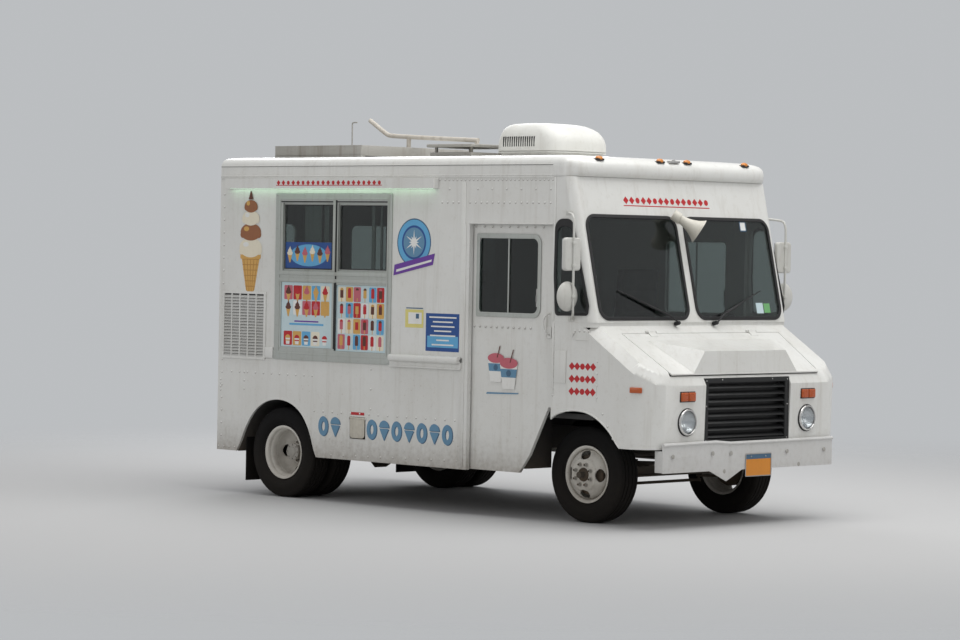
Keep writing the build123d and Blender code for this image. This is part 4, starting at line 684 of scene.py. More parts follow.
SCREEN_RAKE = 0.231
SCREEN_X, SCREEN_Z = FRONT_AXLE_X + 0.289, 1.537
screen_up = Vector((-SCREEN_RAKE, 0, 1)).normalized()
screen_out = Vector((1, 0, SCREEN_RAKE)).normalized()


def on_screen(out=0.0):
    """Along +Y and up the raked windscreen, facing forwards."""
    base = Vector((SCREEN_X, 0, SCREEN_Z)) + screen_out * out
    return Matrix(((0, screen_up.x, screen_out.x, base.x), (1, 0, 0, 0),
                   (0, screen_up.z, screen_out.z, base.z), (0, 0, 0, 1)))


# Rivets: low round heads, driven in rows along every seam of the aluminium body. One head is
# turned and copied along each row, all in one mesh for each body that carries them.
SIDE_Y = -1.17
CAB_SIDE_Y = -1.165


def rivet_rows(rows, radius=0.0078, height=0.0042):
    """Heads along rows, each row a (start, end, pitch, outward direction)."""
    places = []
    for start, end, pitch, facing in rows:
        start, end = Vector(start), Vector(end)
        count = max(1, round((end - start).length / pitch))
        for k in range(count + 1):
            places.append(turned_to(facing, start.lerp(end, k / count)))
    section = [(0.0, height), (radius * 0.55, height * 0.86), (radius * 0.9, height * 0.45), (radius, 0.0)]
    head = turned(section, (0, 0, 0), (0, 0, 1), 8, closed=False)
    return smooth(copies(head, places), 60)


def side_row(x0, z0, x1, z1, pitch, y=SIDE_Y):
    """A row on the side, its x measured from the front axle."""
    return ((FRONT_AXLE_X + x0, y, z0), (FRONT_AXLE_X + x1, y, z1), pitch, (0, -1, 0))


wall_rows = [
    side_row(-3.86, 2.616, -1.36, 2.616, 0.075), side_row(-1.3, 2.616, -0.15, 2.616, 0.045),
    side_row(-1.09, 2.59, -1.09, 0.42, 0.052), side_row(-1.25, 2.545, -0.17, 2.545, 0.155),
    side_row(-1.33, 2.44, -0.17, 2.44, 0.062), side_row(-3.9, 2.5, -3.9, 0.48, 0.105),
    side_row(-3.915, 0.86, -3.915, 0.95, 0.03), side_row(-3.78, 1.02, -2.79, 1.02, 0.095),
    side_row(-2.76, 0.735, -1.15, 0.735, 0.105), side_row(-2.1, 1.1, -2.1, 0.78, 0.155),
    side_row(-1.115, 0.42, -2.55, 0.385, 0.14), side_row(-3.93, 0.385, -3.73, 0.385, 0.08),
    side_row(-3.62, 1.02, -3.62, 0.88, 0.07),
]
cab_rows = [side_row(-0.126, 2.58, -0.126, 1.56, 0.04, CAB_SIDE_Y),
            side_row(-0.12, 1.5, -0.12, 0.98, 0.046, CAB_SIDE_Y),
            side_row(0.33, 1.25, 0.33, 0.98, 0.09, CAB_SIDE_Y),
            side_row(0.395, 0.86, 0.5, 0.68, 0.09, CAB_SIDE_Y),
            side_row(0.1, 1.475, 0.24, 1.475, 0.045, CAB_SIDE_Y)]
# Rivet heads are lighter than the enamel they are painted with: partly worn paint, partly a painted
# highlight on the small domes.
rivet_paint = weathered("rivet_paint", (0.84, 0.84, 0.82), 0.22, top=0.7, dirt=0.7, streaks=0.0, rust=1.2,
                        coat=0.3)
# Grey of the rings round the rivet heads: part dirt, part painted shadow cast below each head.
rivet_grime = weathered("rivet_grime", (0.4, 0.385, 0.36), 0.6, top=0.7, dirt=0.6, streaks=0.0, rust=1.2)


def dirt_and_shadow_rings(rows):
    """Flat dark rings round the heads, set a little below them: part dirt, part painted shadow under each
    head.
    """
    lowered = [((x0, y0, z0 - 0.0035), (x1, y1, z1 - 0.0035), pitch, facing)
               for (x0, y0, z0), (x1, y1, z1), pitch, facing in rows]
    return rivet_rows(lowered, 0.0098, 0.0007)


settle(both_sides(rivet_rows(wall_rows)), "wall_rivets", "chassis", "body_paint", rivet_paint)
# Rings under the wall rivet heads: dirt and painted shadow.
settle(both_sides(dirt_and_shadow_rings(wall_rows)), "wall_rivet_grime", "chassis", "body_paint", rivet_grime)
settle(both_sides(rivet_rows(cab_rows)), "cab_rivets", "chassis", "body_paint", rivet_paint)
# Rings under the cab rivet heads: dirt and painted shadow.
settle(both_sides(dirt_and_shadow_rings(cab_rows)), "cab_rivet_grime", "chassis", "body_paint", rivet_grime)
REAR_DOOR_X = -2.3785
rear_rows = [((REAR_DOOR_X, -0.1, z), (REAR_DOOR_X, -1.0, z), 0.09, (-1, 0, 0)) for z in (0.7, 1.02, 1.5,
        2.38)]
settle_pair(rivet_rows(rear_rows), "rear_door_rivets", "rear_door", "body_paint", rivet_paint)
DOOR_FACE_Y = -1.124
door_rows = [side_row(-1.0, 1.478, -0.4, 1.478, 0.058, DOOR_FACE_Y),
             side_row(-1.0, 2.255, -0.28, 2.255, 0.09, DOOR_FACE_Y),
             side_row(-1.04, 1.9, -1.04, 0.45, 0.1, DOOR_FACE_Y)]
settle_pair(rivet_rows(door_rows, 0.006, 0.0032), "door_rivets", "door", "body_paint", rivet_paint)
# Rings under the door rivet heads: dirt and painted shadow.
settle_pair(dirt_and_shadow_rings(door_rows), "door_rivet_grime", "door", "body_paint", rivet_grime)

# Seams: the drip rail along the eaves, a hat-section post at each edge of the doorway, and the
# strips that cover the joints of the side sheets, folded aluminium painted with the body.
def side_strip(x0, x1, z0, z1, depth, y=SIDE_Y, edge=0.002):
    """A strip on the side, its x measured from the front axle."""
    return axle_box(x0, x1, y, y - depth, z0, z1, edge)


trim = [side_strip(-3.94, -0.14, 2.632, 2.642, 0.009, edge=0.003),
        side_strip(-3.94, -0.14, 2.622, 2.632, 0.004, edge=0.0015),
        side_strip(-1.115, -1.066, 0.385, 2.6, 0.004, edge=0.0015),
        side_strip(-1.03, -0.14, 2.272, 2.28, 0.011, edge=0.003),
        side_strip(-1.072, -1.056, 0.372, 2.272, 0.006)]
settle(both_sides(smooth(joined(trim), 40)), "body_trim", "chassis", "body_paint", enamel)
cab_trim = [side_strip(-0.136, -0.116, 1.545, 2.635, 0.005, CAB_SIDE_Y, 0.002),
            side_strip(-0.134, -0.112, 0.99, 1.53, 0.005, CAB_SIDE_Y, 0.002),
            side_strip(0.325, 0.332, 0.95, 1.27, 0.0025, CAB_SIDE_Y, 0.001),
            side_strip(-0.099, 0.016, 1.073, 1.32, 0.007, CAB_SIDE_Y, 0.003)]
settle(both_sides(smooth(joined(cab_trim), 40)), "cab_trim", "chassis", "body_paint", enamel)

# Wheel arches: each opening has a rolled lip of the body sheet and a black liner inside it, both
# bent to one smooth sweep.
def eased(points, rounds=3):
    """An open line with its corners cut again and again, so that it runs smoothly."""
    for _ in range(rounds):
        line = [points[0]]
        for (u0, v0), (u1, v1) in zip(points, points[1:]):
            line.append((0.75 * u0 + 0.25 * u1, 0.75 * v0 + 0.25 * v1))
            line.append((0.25 * u0 + 0.75 * u1, 0.25 * v0 + 0.75 * v1))
        points = line + [points[-1]]
    return points


def offset_line(points, distance):
    """The same line moved to its left by a distance."""
    moved = []
    for k, (u, v) in enumerate(points):
        before, after = points[max(k - 1, 0)], points[min(k + 1, len(points) - 1)]
        run = Vector((after[0] - before[0], after[1] - before[1])).normalized()
        moved.append((u - run.y * distance, v + run.x * distance))
    return moved


def arch_band(line, inward, outward_by, thickness, y, edge=0.0):
    """A band along an arch line, between a distance inside it and one outside it."""
    outline = offset_line(line, outward_by) + offset_line(line, -inward)[::-1]
    return plate([outline], thickness, on_side(y), edge)


rear_sweep = [(-0.531, 0.355), (-0.478, 0.438), (-0.417, 0.571), (-0.313, 0.705), (-0.187, 0.783),
              (-0.029, 0.815), (0.129, 0.79), (0.255, 0.718), (0.341, 0.609), (0.385, 0.513),
              (0.418, 0.416), (0.45, 0.355)]
rear_sweep = eased([(REAR_AXLE_X + u, v) for u, v in rear_sweep])
settle(smooth(both_sides(arch_band(rear_sweep, 0.003, 0.013, 0.004, SIDE_Y, 0.0012)), 40), "rear_arch_lips",
       "chassis", "body_paint", enamel)
settle(smooth(both_sides(arch_band(rear_sweep, 0.005, -0.001, 0.28, SIDE_Y + 0.3)), 40), "rear_arch_liners",
       "chassis", "black_metal", black_paint)
front_sweep = [(-0.12, 0.804), (-0.084, 0.827), (-0.001, 0.854), (0.083, 0.866), (0.197, 0.863),
               (0.281, 0.841), (0.364, 0.799), (0.437, 0.745), (0.49, 0.694), (0.527, 0.643),
               (0.563, 0.607)]
lip_points = []
for u, v in offset_line(eased([(FRONT_AXLE_X + u, v) for u, v in front_sweep]), 0.007):
    hit, spot, facing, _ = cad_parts["nose"].ray_cast((u, -2.0, v), (0, 1, 0))
    if hit and facing.y < -0.2:
        lip_points.append(spot)
front_lip = curve_piece([lip_points], radius=0.0075, resolution=2)
settle(smooth(both_sides(front_lip), 50), "front_arch_lips", "chassis", "body_paint", enamel)

# Serving window: a bolted frame of grey-green aluminium, with sash rings round its two upper
# panes and its two boards below, dark seals between them, and the posts seen behind.
def side_plate(outlines, thickness, y=SIDE_Y, edge=0.0):
    """Outlines in front-axle x and z, on the serving side, standing out from y."""
    shifted = [[(FRONT_AXLE_X + u, v) for u, v in outline] for outline in outlines]
    return plate(shifted, thickness, on_side(y), edge)


aluminium = weathered("window_aluminium", (0.5, 0.525, 0.5), 0.42, metallic=0.55, top=1.2, dirt=0.4,
                      streaks=0.45, rust=0.1, bump=0.12, dirt_colour=(0.16, 0.17, 0.14))
# Near black of rubbers, seals and black plastic parts, also used for dark strips and sheets that are
# painted shade.
dark_gap = weathered("black_rubber", (0.012, 0.012, 0.013), 0.55, dirt=0.15, streaks=0.05, rust=0.0,
                     bump=0.1)
FRAME_X0, FRAME_X1, FRAME_Z0, FRAME_Z1 = -3.25, -1.88, 1.14, 2.51
WINDOW_PANES = [(-3.162, -2.561, 1.872, 2.429), (-2.502, -1.93, 1.877, 2.425),
                (-3.174, -2.564, 1.245, 1.779), (-2.522, -1.932, 1.23, 1.767)]
frame_parts = [side_plate([rounded(rect(FRAME_X0, FRAME_X1, FRAME_Z0, FRAME_Z1), 0.012),
                           *[rect(x0, x1, z0, z1) for x0, x1, z0, z1 in WINDOW_PANES]], 0.0105,
                          SIDE_Y - 0.0005, 0.002)]
for thickness, back, edge, *edges in (
    (0.006, 0.01, 0.002, (-3.205, -1.915, 1.185, 2.47), (-3.19, -1.928, 1.2, 2.455)),
    (0.004, 0.0105, 0.0015, (-3.25, -1.88, 1.14, 1.205)),
    (0.012, 0.004, 0.003, (-3.19, -1.928, 1.784, 1.812)),
    (0.014, 0.004, 0.003, (-3.19, -1.928, 1.838, 1.868)),
    (0.012, 0.006, 0.003, (-2.557, -2.528, 1.872, 2.452)),
):
    frame_parts.append(side_plate([rect(*sides) for sides in edges], thickness, SIDE_Y - back, edge))
for x0, x1, z0, z1 in WINDOW_PANES:
    frame_parts.append(side_plate([rect(x0 - 0.004, x1 + 0.004, z0 - 0.004, z1 + 0.004),
                                   rect(x0 + 0.02, x1 - 0.02, z0 + 0.02, z1 - 0.02)], 0.008, SIDE_Y + 0.01,
                                  0.0015))
settle(smooth(joined(frame_parts), 40), "serving_frame_profiles", "chassis", "window_metal", aluminium,
       "serving_window_frame")
runner_parts = [side_plate([rect(-2.527, -2.512, 1.232, 2.452)], 0.003, SIDE_Y - 0.0105, 0.001),
                side_plate([rect(-2.54, -2.527, 1.245, 1.78)], 0.003, SIDE_Y - 0.01, 0.0),
                side_plate([rect(-3.184, -1.932, 2.433, 2.443)], 0.002, SIDE_Y - 0.011, 0.0)]
for x0, x1, z0, z1 in WINDOW_PANES[:2]:
    runner_parts.append(side_plate([rect(x0 + 0.014, x1 - 0.014, z0 + 0.014, z1 - 0.014),
                                    rect(x0 + 0.022, x1 - 0.022, z0 + 0.022, z1 - 0.022)], 0.003,
                                   SIDE_Y + 0.001, 0.0))
settle(joined(runner_parts), "serving_sash_seals", "chassis", "rubber", dark_gap)
bolt = turned([(0.0, 0.004), (0.0045, 0.0035), (0.0065, 0.0015), (0.0068, 0.0)], (0, 0, 0), (0, -1, 0), 10,
              closed=False)
bolt_places = []
for x in (-3.232, -2.9, -2.57, -2.24, -1.898):
    for z, out in ((2.493, -0.0105), (1.158, -0.014)):
        bolt_places.append((FRONT_AXLE_X + x, SIDE_Y + out, z))
for z in (1.42, 1.68, 1.95, 2.22):
    for x in (-3.228, -1.899):
        bolt_places.append((FRONT_AXLE_X + x, SIDE_Y - 0.0105, z))
settle(smooth(copies(bolt, bolt_places), 50), "serving_frame_bolts", "chassis", "steel", steel)
inner_posts = [axle_box(x, x + w, -1.128, -1.112, 1.86, 2.45, 0.003)
               for x, w in ((-2.95, 0.2), (-2.715, 0.05), (-2.16, 0.035), (-2.06, 0.02))]
settle(joined(inner_posts), "inner_window_posts", "chassis", "window_metal", aluminium)

# Menu boards and pictures: printed vinyl film on flat plates. All the motifs are plain cones,
# cups and ice lollies in rows, cut from flat film and laid on, with no words.
def film(name, colour):
    """The look of a printed film."""
    return weathered(name, colour, 0.32, top=1.0, dirt=0.12, streaks=0.12, rust=0.0, bump=0.05)


board_blue = film("board_pale_blue", (0.56, 0.69, 0.73))
brown = film("film_brown", (0.11, 0.03, 0.018))
cream = film("film_cream", (0.8, 0.74, 0.6))
wafer = film("film_wafer", (0.66, 0.38, 0.1))
pink = film("film_pink", (0.55, 0.13, 0.17))
red_film = film("film_red", (0.5, 0.012, 0.018))
deep_blue = film("film_blue", (0.016, 0.075, 0.28))
sky_blue = film("film_sky", (0.12, 0.4, 0.68))
pale_film = film("film_white", (0.8, 0.8, 0.78))
violet = film("film_violet", (0.15, 0.045, 0.34))
letter_blue = film("film_faded_blue", (0.12, 0.27, 0.42))
shade_blue = film("film_shade_blue", (0.055, 0.13, 0.22))
yellow_film = film("film_yellow", (0.72, 0.64, 0.22))
FILM_THICKNESS = 0.0003
flats = {}


def picture(place, group, body="chassis"):
    """A function that lays film on a surface: a look, a lift above the surface, and outlines."""
    def lay(look, lift, *outlines):
        piece = plate(outlines, FILM_THICKNESS, place @ Matrix.Translation((0, 0, lift)))
        flats.setdefault((group, body, look.name), []).append(piece)
    return lay


def tapered(u, top, top_half, bottom, bottom_half):
    """Four corners round a middle line, from a top width to a bottom one."""
    return [(u - top_half, top), (u - bottom_half, bottom), (u + bottom_half, bottom), (u + top_half, top)]


def cone_motif(lay, u, v, size, top, lift):
    """A small wafer cone with a rounded heap on it."""
    lay(wafer, lift, tapered(u, v, 0.2 * size, v - 0.52 * size, 0.045 * size))
    lay(top, lift + 0.0004, oval(u, v + 0.03 * size, 0.24 * size, 0.13 * size, 14))
    lay(top, lift + 0.0007, oval(u, v + 0.16 * size, 0.17 * size, 0.13 * size, 12))
    lay(top, lift + 0.001, [(u - 0.11 * size, v + 0.22 * size), (u + 0.11 * size, v + 0.22 * size),
                            (u + 0.02 * size, v + 0.44 * size)])


def cup_motif(lay, u, v, size, top, lift):
    """A small paper cup with a dome on it."""
    lay(pale_film, lift, tapered(u, v, 0.2 * size, v - 0.36 * size, 0.14 * size))
    lay(top, lift + 0.0004, oval(u, v, 0.22 * size, 0.2 * size, 12, 0.0, math.pi))
    lay(top, lift + 0.0004, rect(u - 0.18 * size, u + 0.18 * size, v - 0.17 * size, v - 0.1 * size))


def lolly_motif(lay, u, v, size, top, second, lift):
    """An ice lolly on its stick, its tip another colour."""
    lay(wafer, lift, rect(u - 0.03 * size, u + 0.03 * size, v - 0.48 * size, v - 0.16 * size))
    lay(top, lift + 0.0004, rounded(rect(u - 0.14 * size, u + 0.14 * size, v - 0.22 * size, v + 0.4 * size),
                                    [0.03 * size, 0.03 * size, 0.13 * size, 0.13 * size], 4))
    lay(second, lift + 0.0008, oval(u, v + 0.26 * size, 0.14 * size, 0.14 * size, 10, 0.0, math.pi))


menu = picture(on_side(SIDE_Y - 0.0022), "menu_motifs")
tops = (brown, red_film, pink, wafer, red_film, brown)
tiles = (pink, cream, red_film, board_blue, wafer, pale_film, sky_blue)
x0, x1, z0, z1 = WINDOW_PANES[2]
for row in (0, 1, 3):
    for column in range(5):
        u = FRONT_AXLE_X + x0 + 0.085 + column * 0.11
        v = z1 - 0.085 - row * 0.125
        motif = cone_motif if row < 2 else cup_motif
        menu(tiles[(row * 3 + column * 2) % 7], 0.0,
             rounded(rect(u - 0.051, u + 0.051, v - 0.058, v + 0.058), 0.01, 3))
        motif(menu, u, v, 0.14, tops[(row * 5 + column) % 6], 0.0004)
menu(sky_blue, 0.0, rounded(rect(FRONT_AXLE_X + x0 + 0.1, FRONT_AXLE_X + x1 - 0.1, z1 - 0.352, z1 - 0.336),
                            0.006))
menu(violet, 0.0, rounded(rect(FRONT_AXLE_X + x0 + 0.16, FRONT_AXLE_X + x1 - 0.16, z1 - 0.326, z1 - 0.314),
                          0.005))
x0, x1, z0, z1 = WINDOW_PANES[3]
for row in range(4):
    for column in range(6):
        u = FRONT_AXLE_X + x0 + 0.07 + column * 0.09
        v = z1 - 0.075 - row * 0.128
        menu(tiles[(row * 2 + column * 3 + 1) % 7], 0.0,
             rounded(rect(u - 0.042, u + 0.042, v - 0.06, v + 0.06), 0.01, 3))
        lolly_motif(menu, u, v, 0.13, tops[(row + column) % 6], tops[(row * 2 + column + 3) % 6], 0.0004)
strip = picture(on_side(SIDE_Y + 0.0055), "pane_strip")
x0, x1, z0, z1 = WINDOW_PANES[0]
strip(deep_blue, 0.0, rect(FRONT_AXLE_X + x0 + 0.022, FRONT_AXLE_X + x1 - 0.022, z0 + 0.022, z0 + 0.235))
strip(sky_blue, 0.0004, oval(FRONT_AXLE_X + (x0 + x1) / 2, z0 + 0.128, 0.22, 0.09, 32))
for column in range(6):
    u = FRONT_AXLE_X + x0 + 0.075 + column * 0.09
    cone_motif(strip, u, z0 + 0.14 + 0.012 * (column % 2), 0.14, (cream, brown, pink)[column % 3], 0.0008)

# Big cone on the rear of the side: a plain wafer cone with a lattice and four layered scoops.
cone_u = FRONT_AXLE_X - 3.565
wall_face = on_side(SIDE_Y - 0.0004)
tall_cone = picture(wall_face, "cone_picture")
tall_cone(wafer, 0.0, [(cone_u - 0.115, 1.985), (cone_u - 0.052, 1.7), (cone_u - 0.03, 1.688),
                       (cone_u + 0.03, 1.688), (cone_u + 0.052, 1.7), (cone_u + 0.115, 1.985)])
lattice = film("film_wafer_dark", (0.45, 0.22, 0.05))
for k in range(6):
    v = 1.73 + k * 0.045
    half = 0.052 + (v - 1.7) * 0.221
    tall_cone(lattice, 0.0004, rect(cone_u - half, cone_u + half, v, v + 0.006))
for k in range(-2, 3):
    tall_cone(lattice, 0.0006, [(cone_u + k * 0.02 - 0.003, 1.695), (cone_u + k * 0.02 + 0.003, 1.695),
                                (cone_u + k * 0.044 + 0.003, 1.985), (cone_u + k * 0.044 - 0.003, 1.985)])
tall_cone(wafer, 0.0009, rounded(rect(cone_u - 0.126, cone_u + 0.126, 1.96, 2.012), 0.014))
caramel = film("film_caramel", (0.3, 0.115, 0.045))
for level, (v, half, look) in enumerate(((2.055, 0.138, cream), (2.185, 0.126, caramel),
                                         (2.3, 0.106, cream), (2.398, 0.08, caramel))):
    lift = 0.0013 + 0.001 * level
    tall_cone(look, lift + 0.0004, oval(cone_u, v, half, 0.082 - 0.01 * level, 32))
    for k in range(5):
        u = cone_u + half * (-0.78 + 0.39 * k)
        tall_cone(look, lift + 0.0002 * (k % 2), oval(u, v - 0.048 + 0.006 * level + 0.01 * abs(k - 2),
                                                      half * 0.24, 0.032 - 0.003 * level, 16))
    shine = pale_film if look is cream else wafer
    tall_cone(shine, lift + 0.0006, oval(cone_u - half * 0.42, v + 0.026, half * 0.26, 0.02, 16))
tall_cone(brown, 0.0056,
          rounded([(cone_u - 0.03, 2.455), (cone_u + 0.03, 2.455), (cone_u + 0.006, 2.525),
                   (cone_u - 0.006, 2.525)], 0.005))

# Round badge of three rings with a plain snow star, over a slanting violet band.
badge = picture(wall_face, "badge")
badge_u, badge_v = FRONT_AXLE_X - 1.635, 2.12
for radius, look, lift in ((0.19, shade_blue, 0.0), (0.18, sky_blue, 0.0004), (0.135, deep_blue, 0.0008),
                           (0.118, letter_blue, 0.0012)):
    badge(look, lift, oval(badge_u, badge_v, radius, radius, 48))
star = []
for k in range(24):
    reach = (0.1, 0.03, 0.055, 0.03)[k % 4]
    star.append((badge_u + reach * math.sin(math.tau * k / 24),
                 badge_v + reach * math.cos(math.tau * k / 24)))
badge(pale_film, 0.0016, star)
badge(violet, 0.002, [(badge_u - 0.225, badge_v - 0.265), (badge_u + 0.215, badge_v - 0.175),
                      (badge_u + 0.235, badge_v - 0.085), (badge_u - 0.215, badge_v - 0.18)])
badge(pale_film, 0.0024, [(badge_u - 0.195, badge_v - 0.238), (badge_u + 0.2, badge_v - 0.15),
                          (badge_u + 0.204, badge_v - 0.132), (badge_u - 0.193, badge_v - 0.218)])

# Paper notice and blue poster: plain sheets with blank bars.
posters = picture(wall_face, "posters")
note_u, note_v = FRONT_AXLE_X - 1.72, 1.446
posters(yellow_film, 0.0, rect(note_u, note_u + 0.205, note_v, note_v + 0.143))
posters(pale_film, 0.0004, rect(note_u + 0.035, note_u + 0.185, note_v + 0.03, note_v + 0.12))
posters(shade_blue, 0.0008, rect(note_u + 0.12, note_u + 0.155, note_v + 0.072, note_v + 0.11))
posters(shade_blue, 0.0004, rect(note_u + 0.01, note_u + 0.2, note_v + 0.15, note_v + 0.158))
poster_u, poster_v = FRONT_AXLE_X - 1.487, 1.267
posters(deep_blue, 0.0, rect(poster_u, poster_u + 0.376, poster_v, poster_v + 0.298))
posters(sky_blue, 0.0004, rect(poster_u + 0.018, poster_u + 0.358, poster_v + 0.03, poster_v + 0.12))
for k, half in enumerate((0.15, 0.11, 0.13, 0.095, 0.14, 0.07, 0.12)):
    v = poster_v + 0.262 - k * 0.036
    posters(pale_film, 0.0008, rounded(rect(poster_u + 0.188 - half, poster_u + 0.188 + half, v, v + 0.011),
                                       0.003))

# Painted rows: red lozenges and dots on the light box, over the windscreen and on the nose,
# and a row of pale blue rings and cones along the lower side, each with a darker shade.
def lozenges(lay, u0, u1, v, size, count):
    """A row of red lozenges, every third one a dot."""
    for k in range(count):
        u = u0 + (u1 - u0) * (k + 0.5) / count
        reach = size * 0.55
        outline = [(u - reach, v), (u, v - reach), (u + reach, v), (u, v + reach)]
        if k % 3 == 2:
            outline = oval(u, v, size * 0.42, size * 0.42, 16)
        lay(red_film, 0.0, outline)


LIGHT_BOX_Y = -1.2302
light_reds = picture(on_side(LIGHT_BOX_Y), "red_motifs")
screen_reds = picture(on_screen(0.0004), "red_motifs")
nose_reds = picture(on_side(CAB_SIDE_Y - 0.0004), "red_motifs")
wall_reds = picture(wall_face, "red_motifs")
blues = picture(wall_face, "blue_motifs")
light_reds(red_film, 0.0, rounded(rect(FRONT_AXLE_X - 3.2, FRONT_AXLE_X - 1.95, 2.5685, 2.5745), 0.002))
lozenges(light_reds, FRONT_AXLE_X - 3.2, FRONT_AXLE_X - 1.95, 2.592, 0.04, 21)
lozenges(screen_reds, -0.62, 0.4, 0.958, 0.056, 15)
screen_reds(red_film, 0.0, rounded(rect(-0.62, 0.4, 0.912, 0.92), 0.003))
for v in (1.205, 1.11, 1.015):
    lozenges(nose_reds, FRONT_AXLE_X + 0.048, FRONT_AXLE_X + 0.318, v, 0.056, 5)
side_u0, side_u1, motif_count = FRONT_AXLE_X - 2.72, FRONT_AXLE_X - 1.16, 11
for k in range(motif_count):
    u = side_u0 + (side_u1 - side_u0) * (k + 0.5) / motif_count
    over_flap = FRONT_AXLE_X - 2.4 < u < FRONT_AXLE_X - 2.1
    if over_flap:
        continue
    for look, shift, lift in ((shade_blue, 0.01, 0.0), (letter_blue, 0.0, 0.0006)):
        if k % 2:
            blues(look, lift, [(u - 0.052 + shift, 0.628 - shift / 2), (u + shift, 0.532 - shift / 2),
                               (u + 0.052 + shift, 0.628 - shift / 2)])
            blues(look, lift + 0.0003, oval(u + shift, 0.638 - shift / 2, 0.056, 0.056, 16, 0.0, math.pi))
        else:
            blues(look, lift, oval(u + shift, 0.615 - shift / 2, 0.058, 0.08, 24),
                  oval(u + shift, 0.615 - shift / 2, 0.022, 0.04, 12))
wall_reds(red_film, 0.0, rounded(rect(FRONT_AXLE_X - 2.325, FRONT_AXLE_X - 2.17, 0.722, 0.745), 0.004))

# Two plain cups with pink ice and straws on the sliding door.
cups = picture(on_side(DOOR_FACE_Y - 0.0004), "cup_picture", "door_right")
for u, v, size, step in ((FRONT_AXLE_X - 0.76, 1.235, 0.92, 0.0), (FRONT_AXLE_X - 0.62, 1.2, 1.0, 0.0018)):
    cups(pale_film, step, tapered(u, v, 0.095 * size, v - 0.2 * size, 0.062 * size))
    cups(letter_blue, step + 0.0004, tapered(u, v - 0.045 * size, 0.088 * size, v - 0.11 * size,
                                             0.077 * size))
    cups(shade_blue, step + 0.0008, oval(u, v - 0.078 * size, 0.026 * size, 0.026 * size, 16))
    cups(pink, step + 0.001, oval(u, v, 0.095 * size, 0.042 * size, 20))
    cups(brown, step + 0.0014, [(u + 0.01, v + 0.005), (u + 0.02, v + 0.005),
                                (u + 0.052 * size, v + 0.105 * size), (u + 0.042 * size, v + 0.105 * size)])
cups(letter_blue, 0.0, [(FRONT_AXLE_X - 0.86, 0.955), (FRONT_AXLE_X - 0.52, 0.965),
                        (FRONT_AXLE_X - 0.51, 0.974), (FRONT_AXLE_X - 0.85, 0.968)])
for (group, body, look_name), pieces in flats.items():
    settle(joined(pieces), group + "_" + look_name, body, "board", bpy.data.materials[look_name])

# Door window: a glazed aluminium frame with rounded front corners, its sliding pane's edge and
# a small catch, with a pull handle of bent rod beside it; the same on both doors.
door_frame = side_plate([rounded(rect(-0.983, -0.299, 1.555, 2.198), [0.012, 0.075, 0.075, 0.012]),
                         rounded(rect(-0.95, -0.332, 1.59, 2.162), [0.008, 0.05, 0.05, 0.008])], 0.0042,
                        DOOR_FACE_Y - 0.0002, 0.0015)
lip = side_plate([rounded(rect(-0.962, -0.32, 1.577, 2.175), [0.01, 0.06, 0.06, 0.01]),
                  rounded(rect(-0.952, -0.33, 1.588, 2.164), [0.008, 0.052, 0.052, 0.008])], 0.008,
                 DOOR_FACE_Y + 0.003, 0.002)
divider = side_plate([rect(-0.652, -0.64, 1.59, 2.162)], 0.01, DOOR_FACE_Y + 0.012, 0.002)
settle_pair(smooth(joined([door_frame, lip, divider]), 40), "door_window_frame", "door", "window_metal",
            aluminium)
catch = joined([axle_box(-0.35, -0.336, -1.122, -1.112, 1.64, 1.78, 0.003),
                axle_box(-0.348, -0.34, -1.128, -1.12, 1.68, 1.73, 0.002)])
settle_pair(catch, "window_catch", "door", "steel", steel)
handle_line = from_axle((-0.198, -1.126, 1.43), (-0.198, -1.16, 1.436), (-0.226, -1.168, 1.48),
                        (-0.226, -1.168, 1.55), (-0.202, -1.16, 1.59), (-0.202, -1.126, 1.594))
handle = curve_piece([handle_line], radius=0.0065, resolution=4, smooth_line=True)
boss = axle_box(-0.225, -0.178, -1.129, -1.124, 1.405, 1.49, 0.002)
settle_pair(smooth(joined([handle, boss]), 50), "pull_handle", "door", "body_paint", enamel)

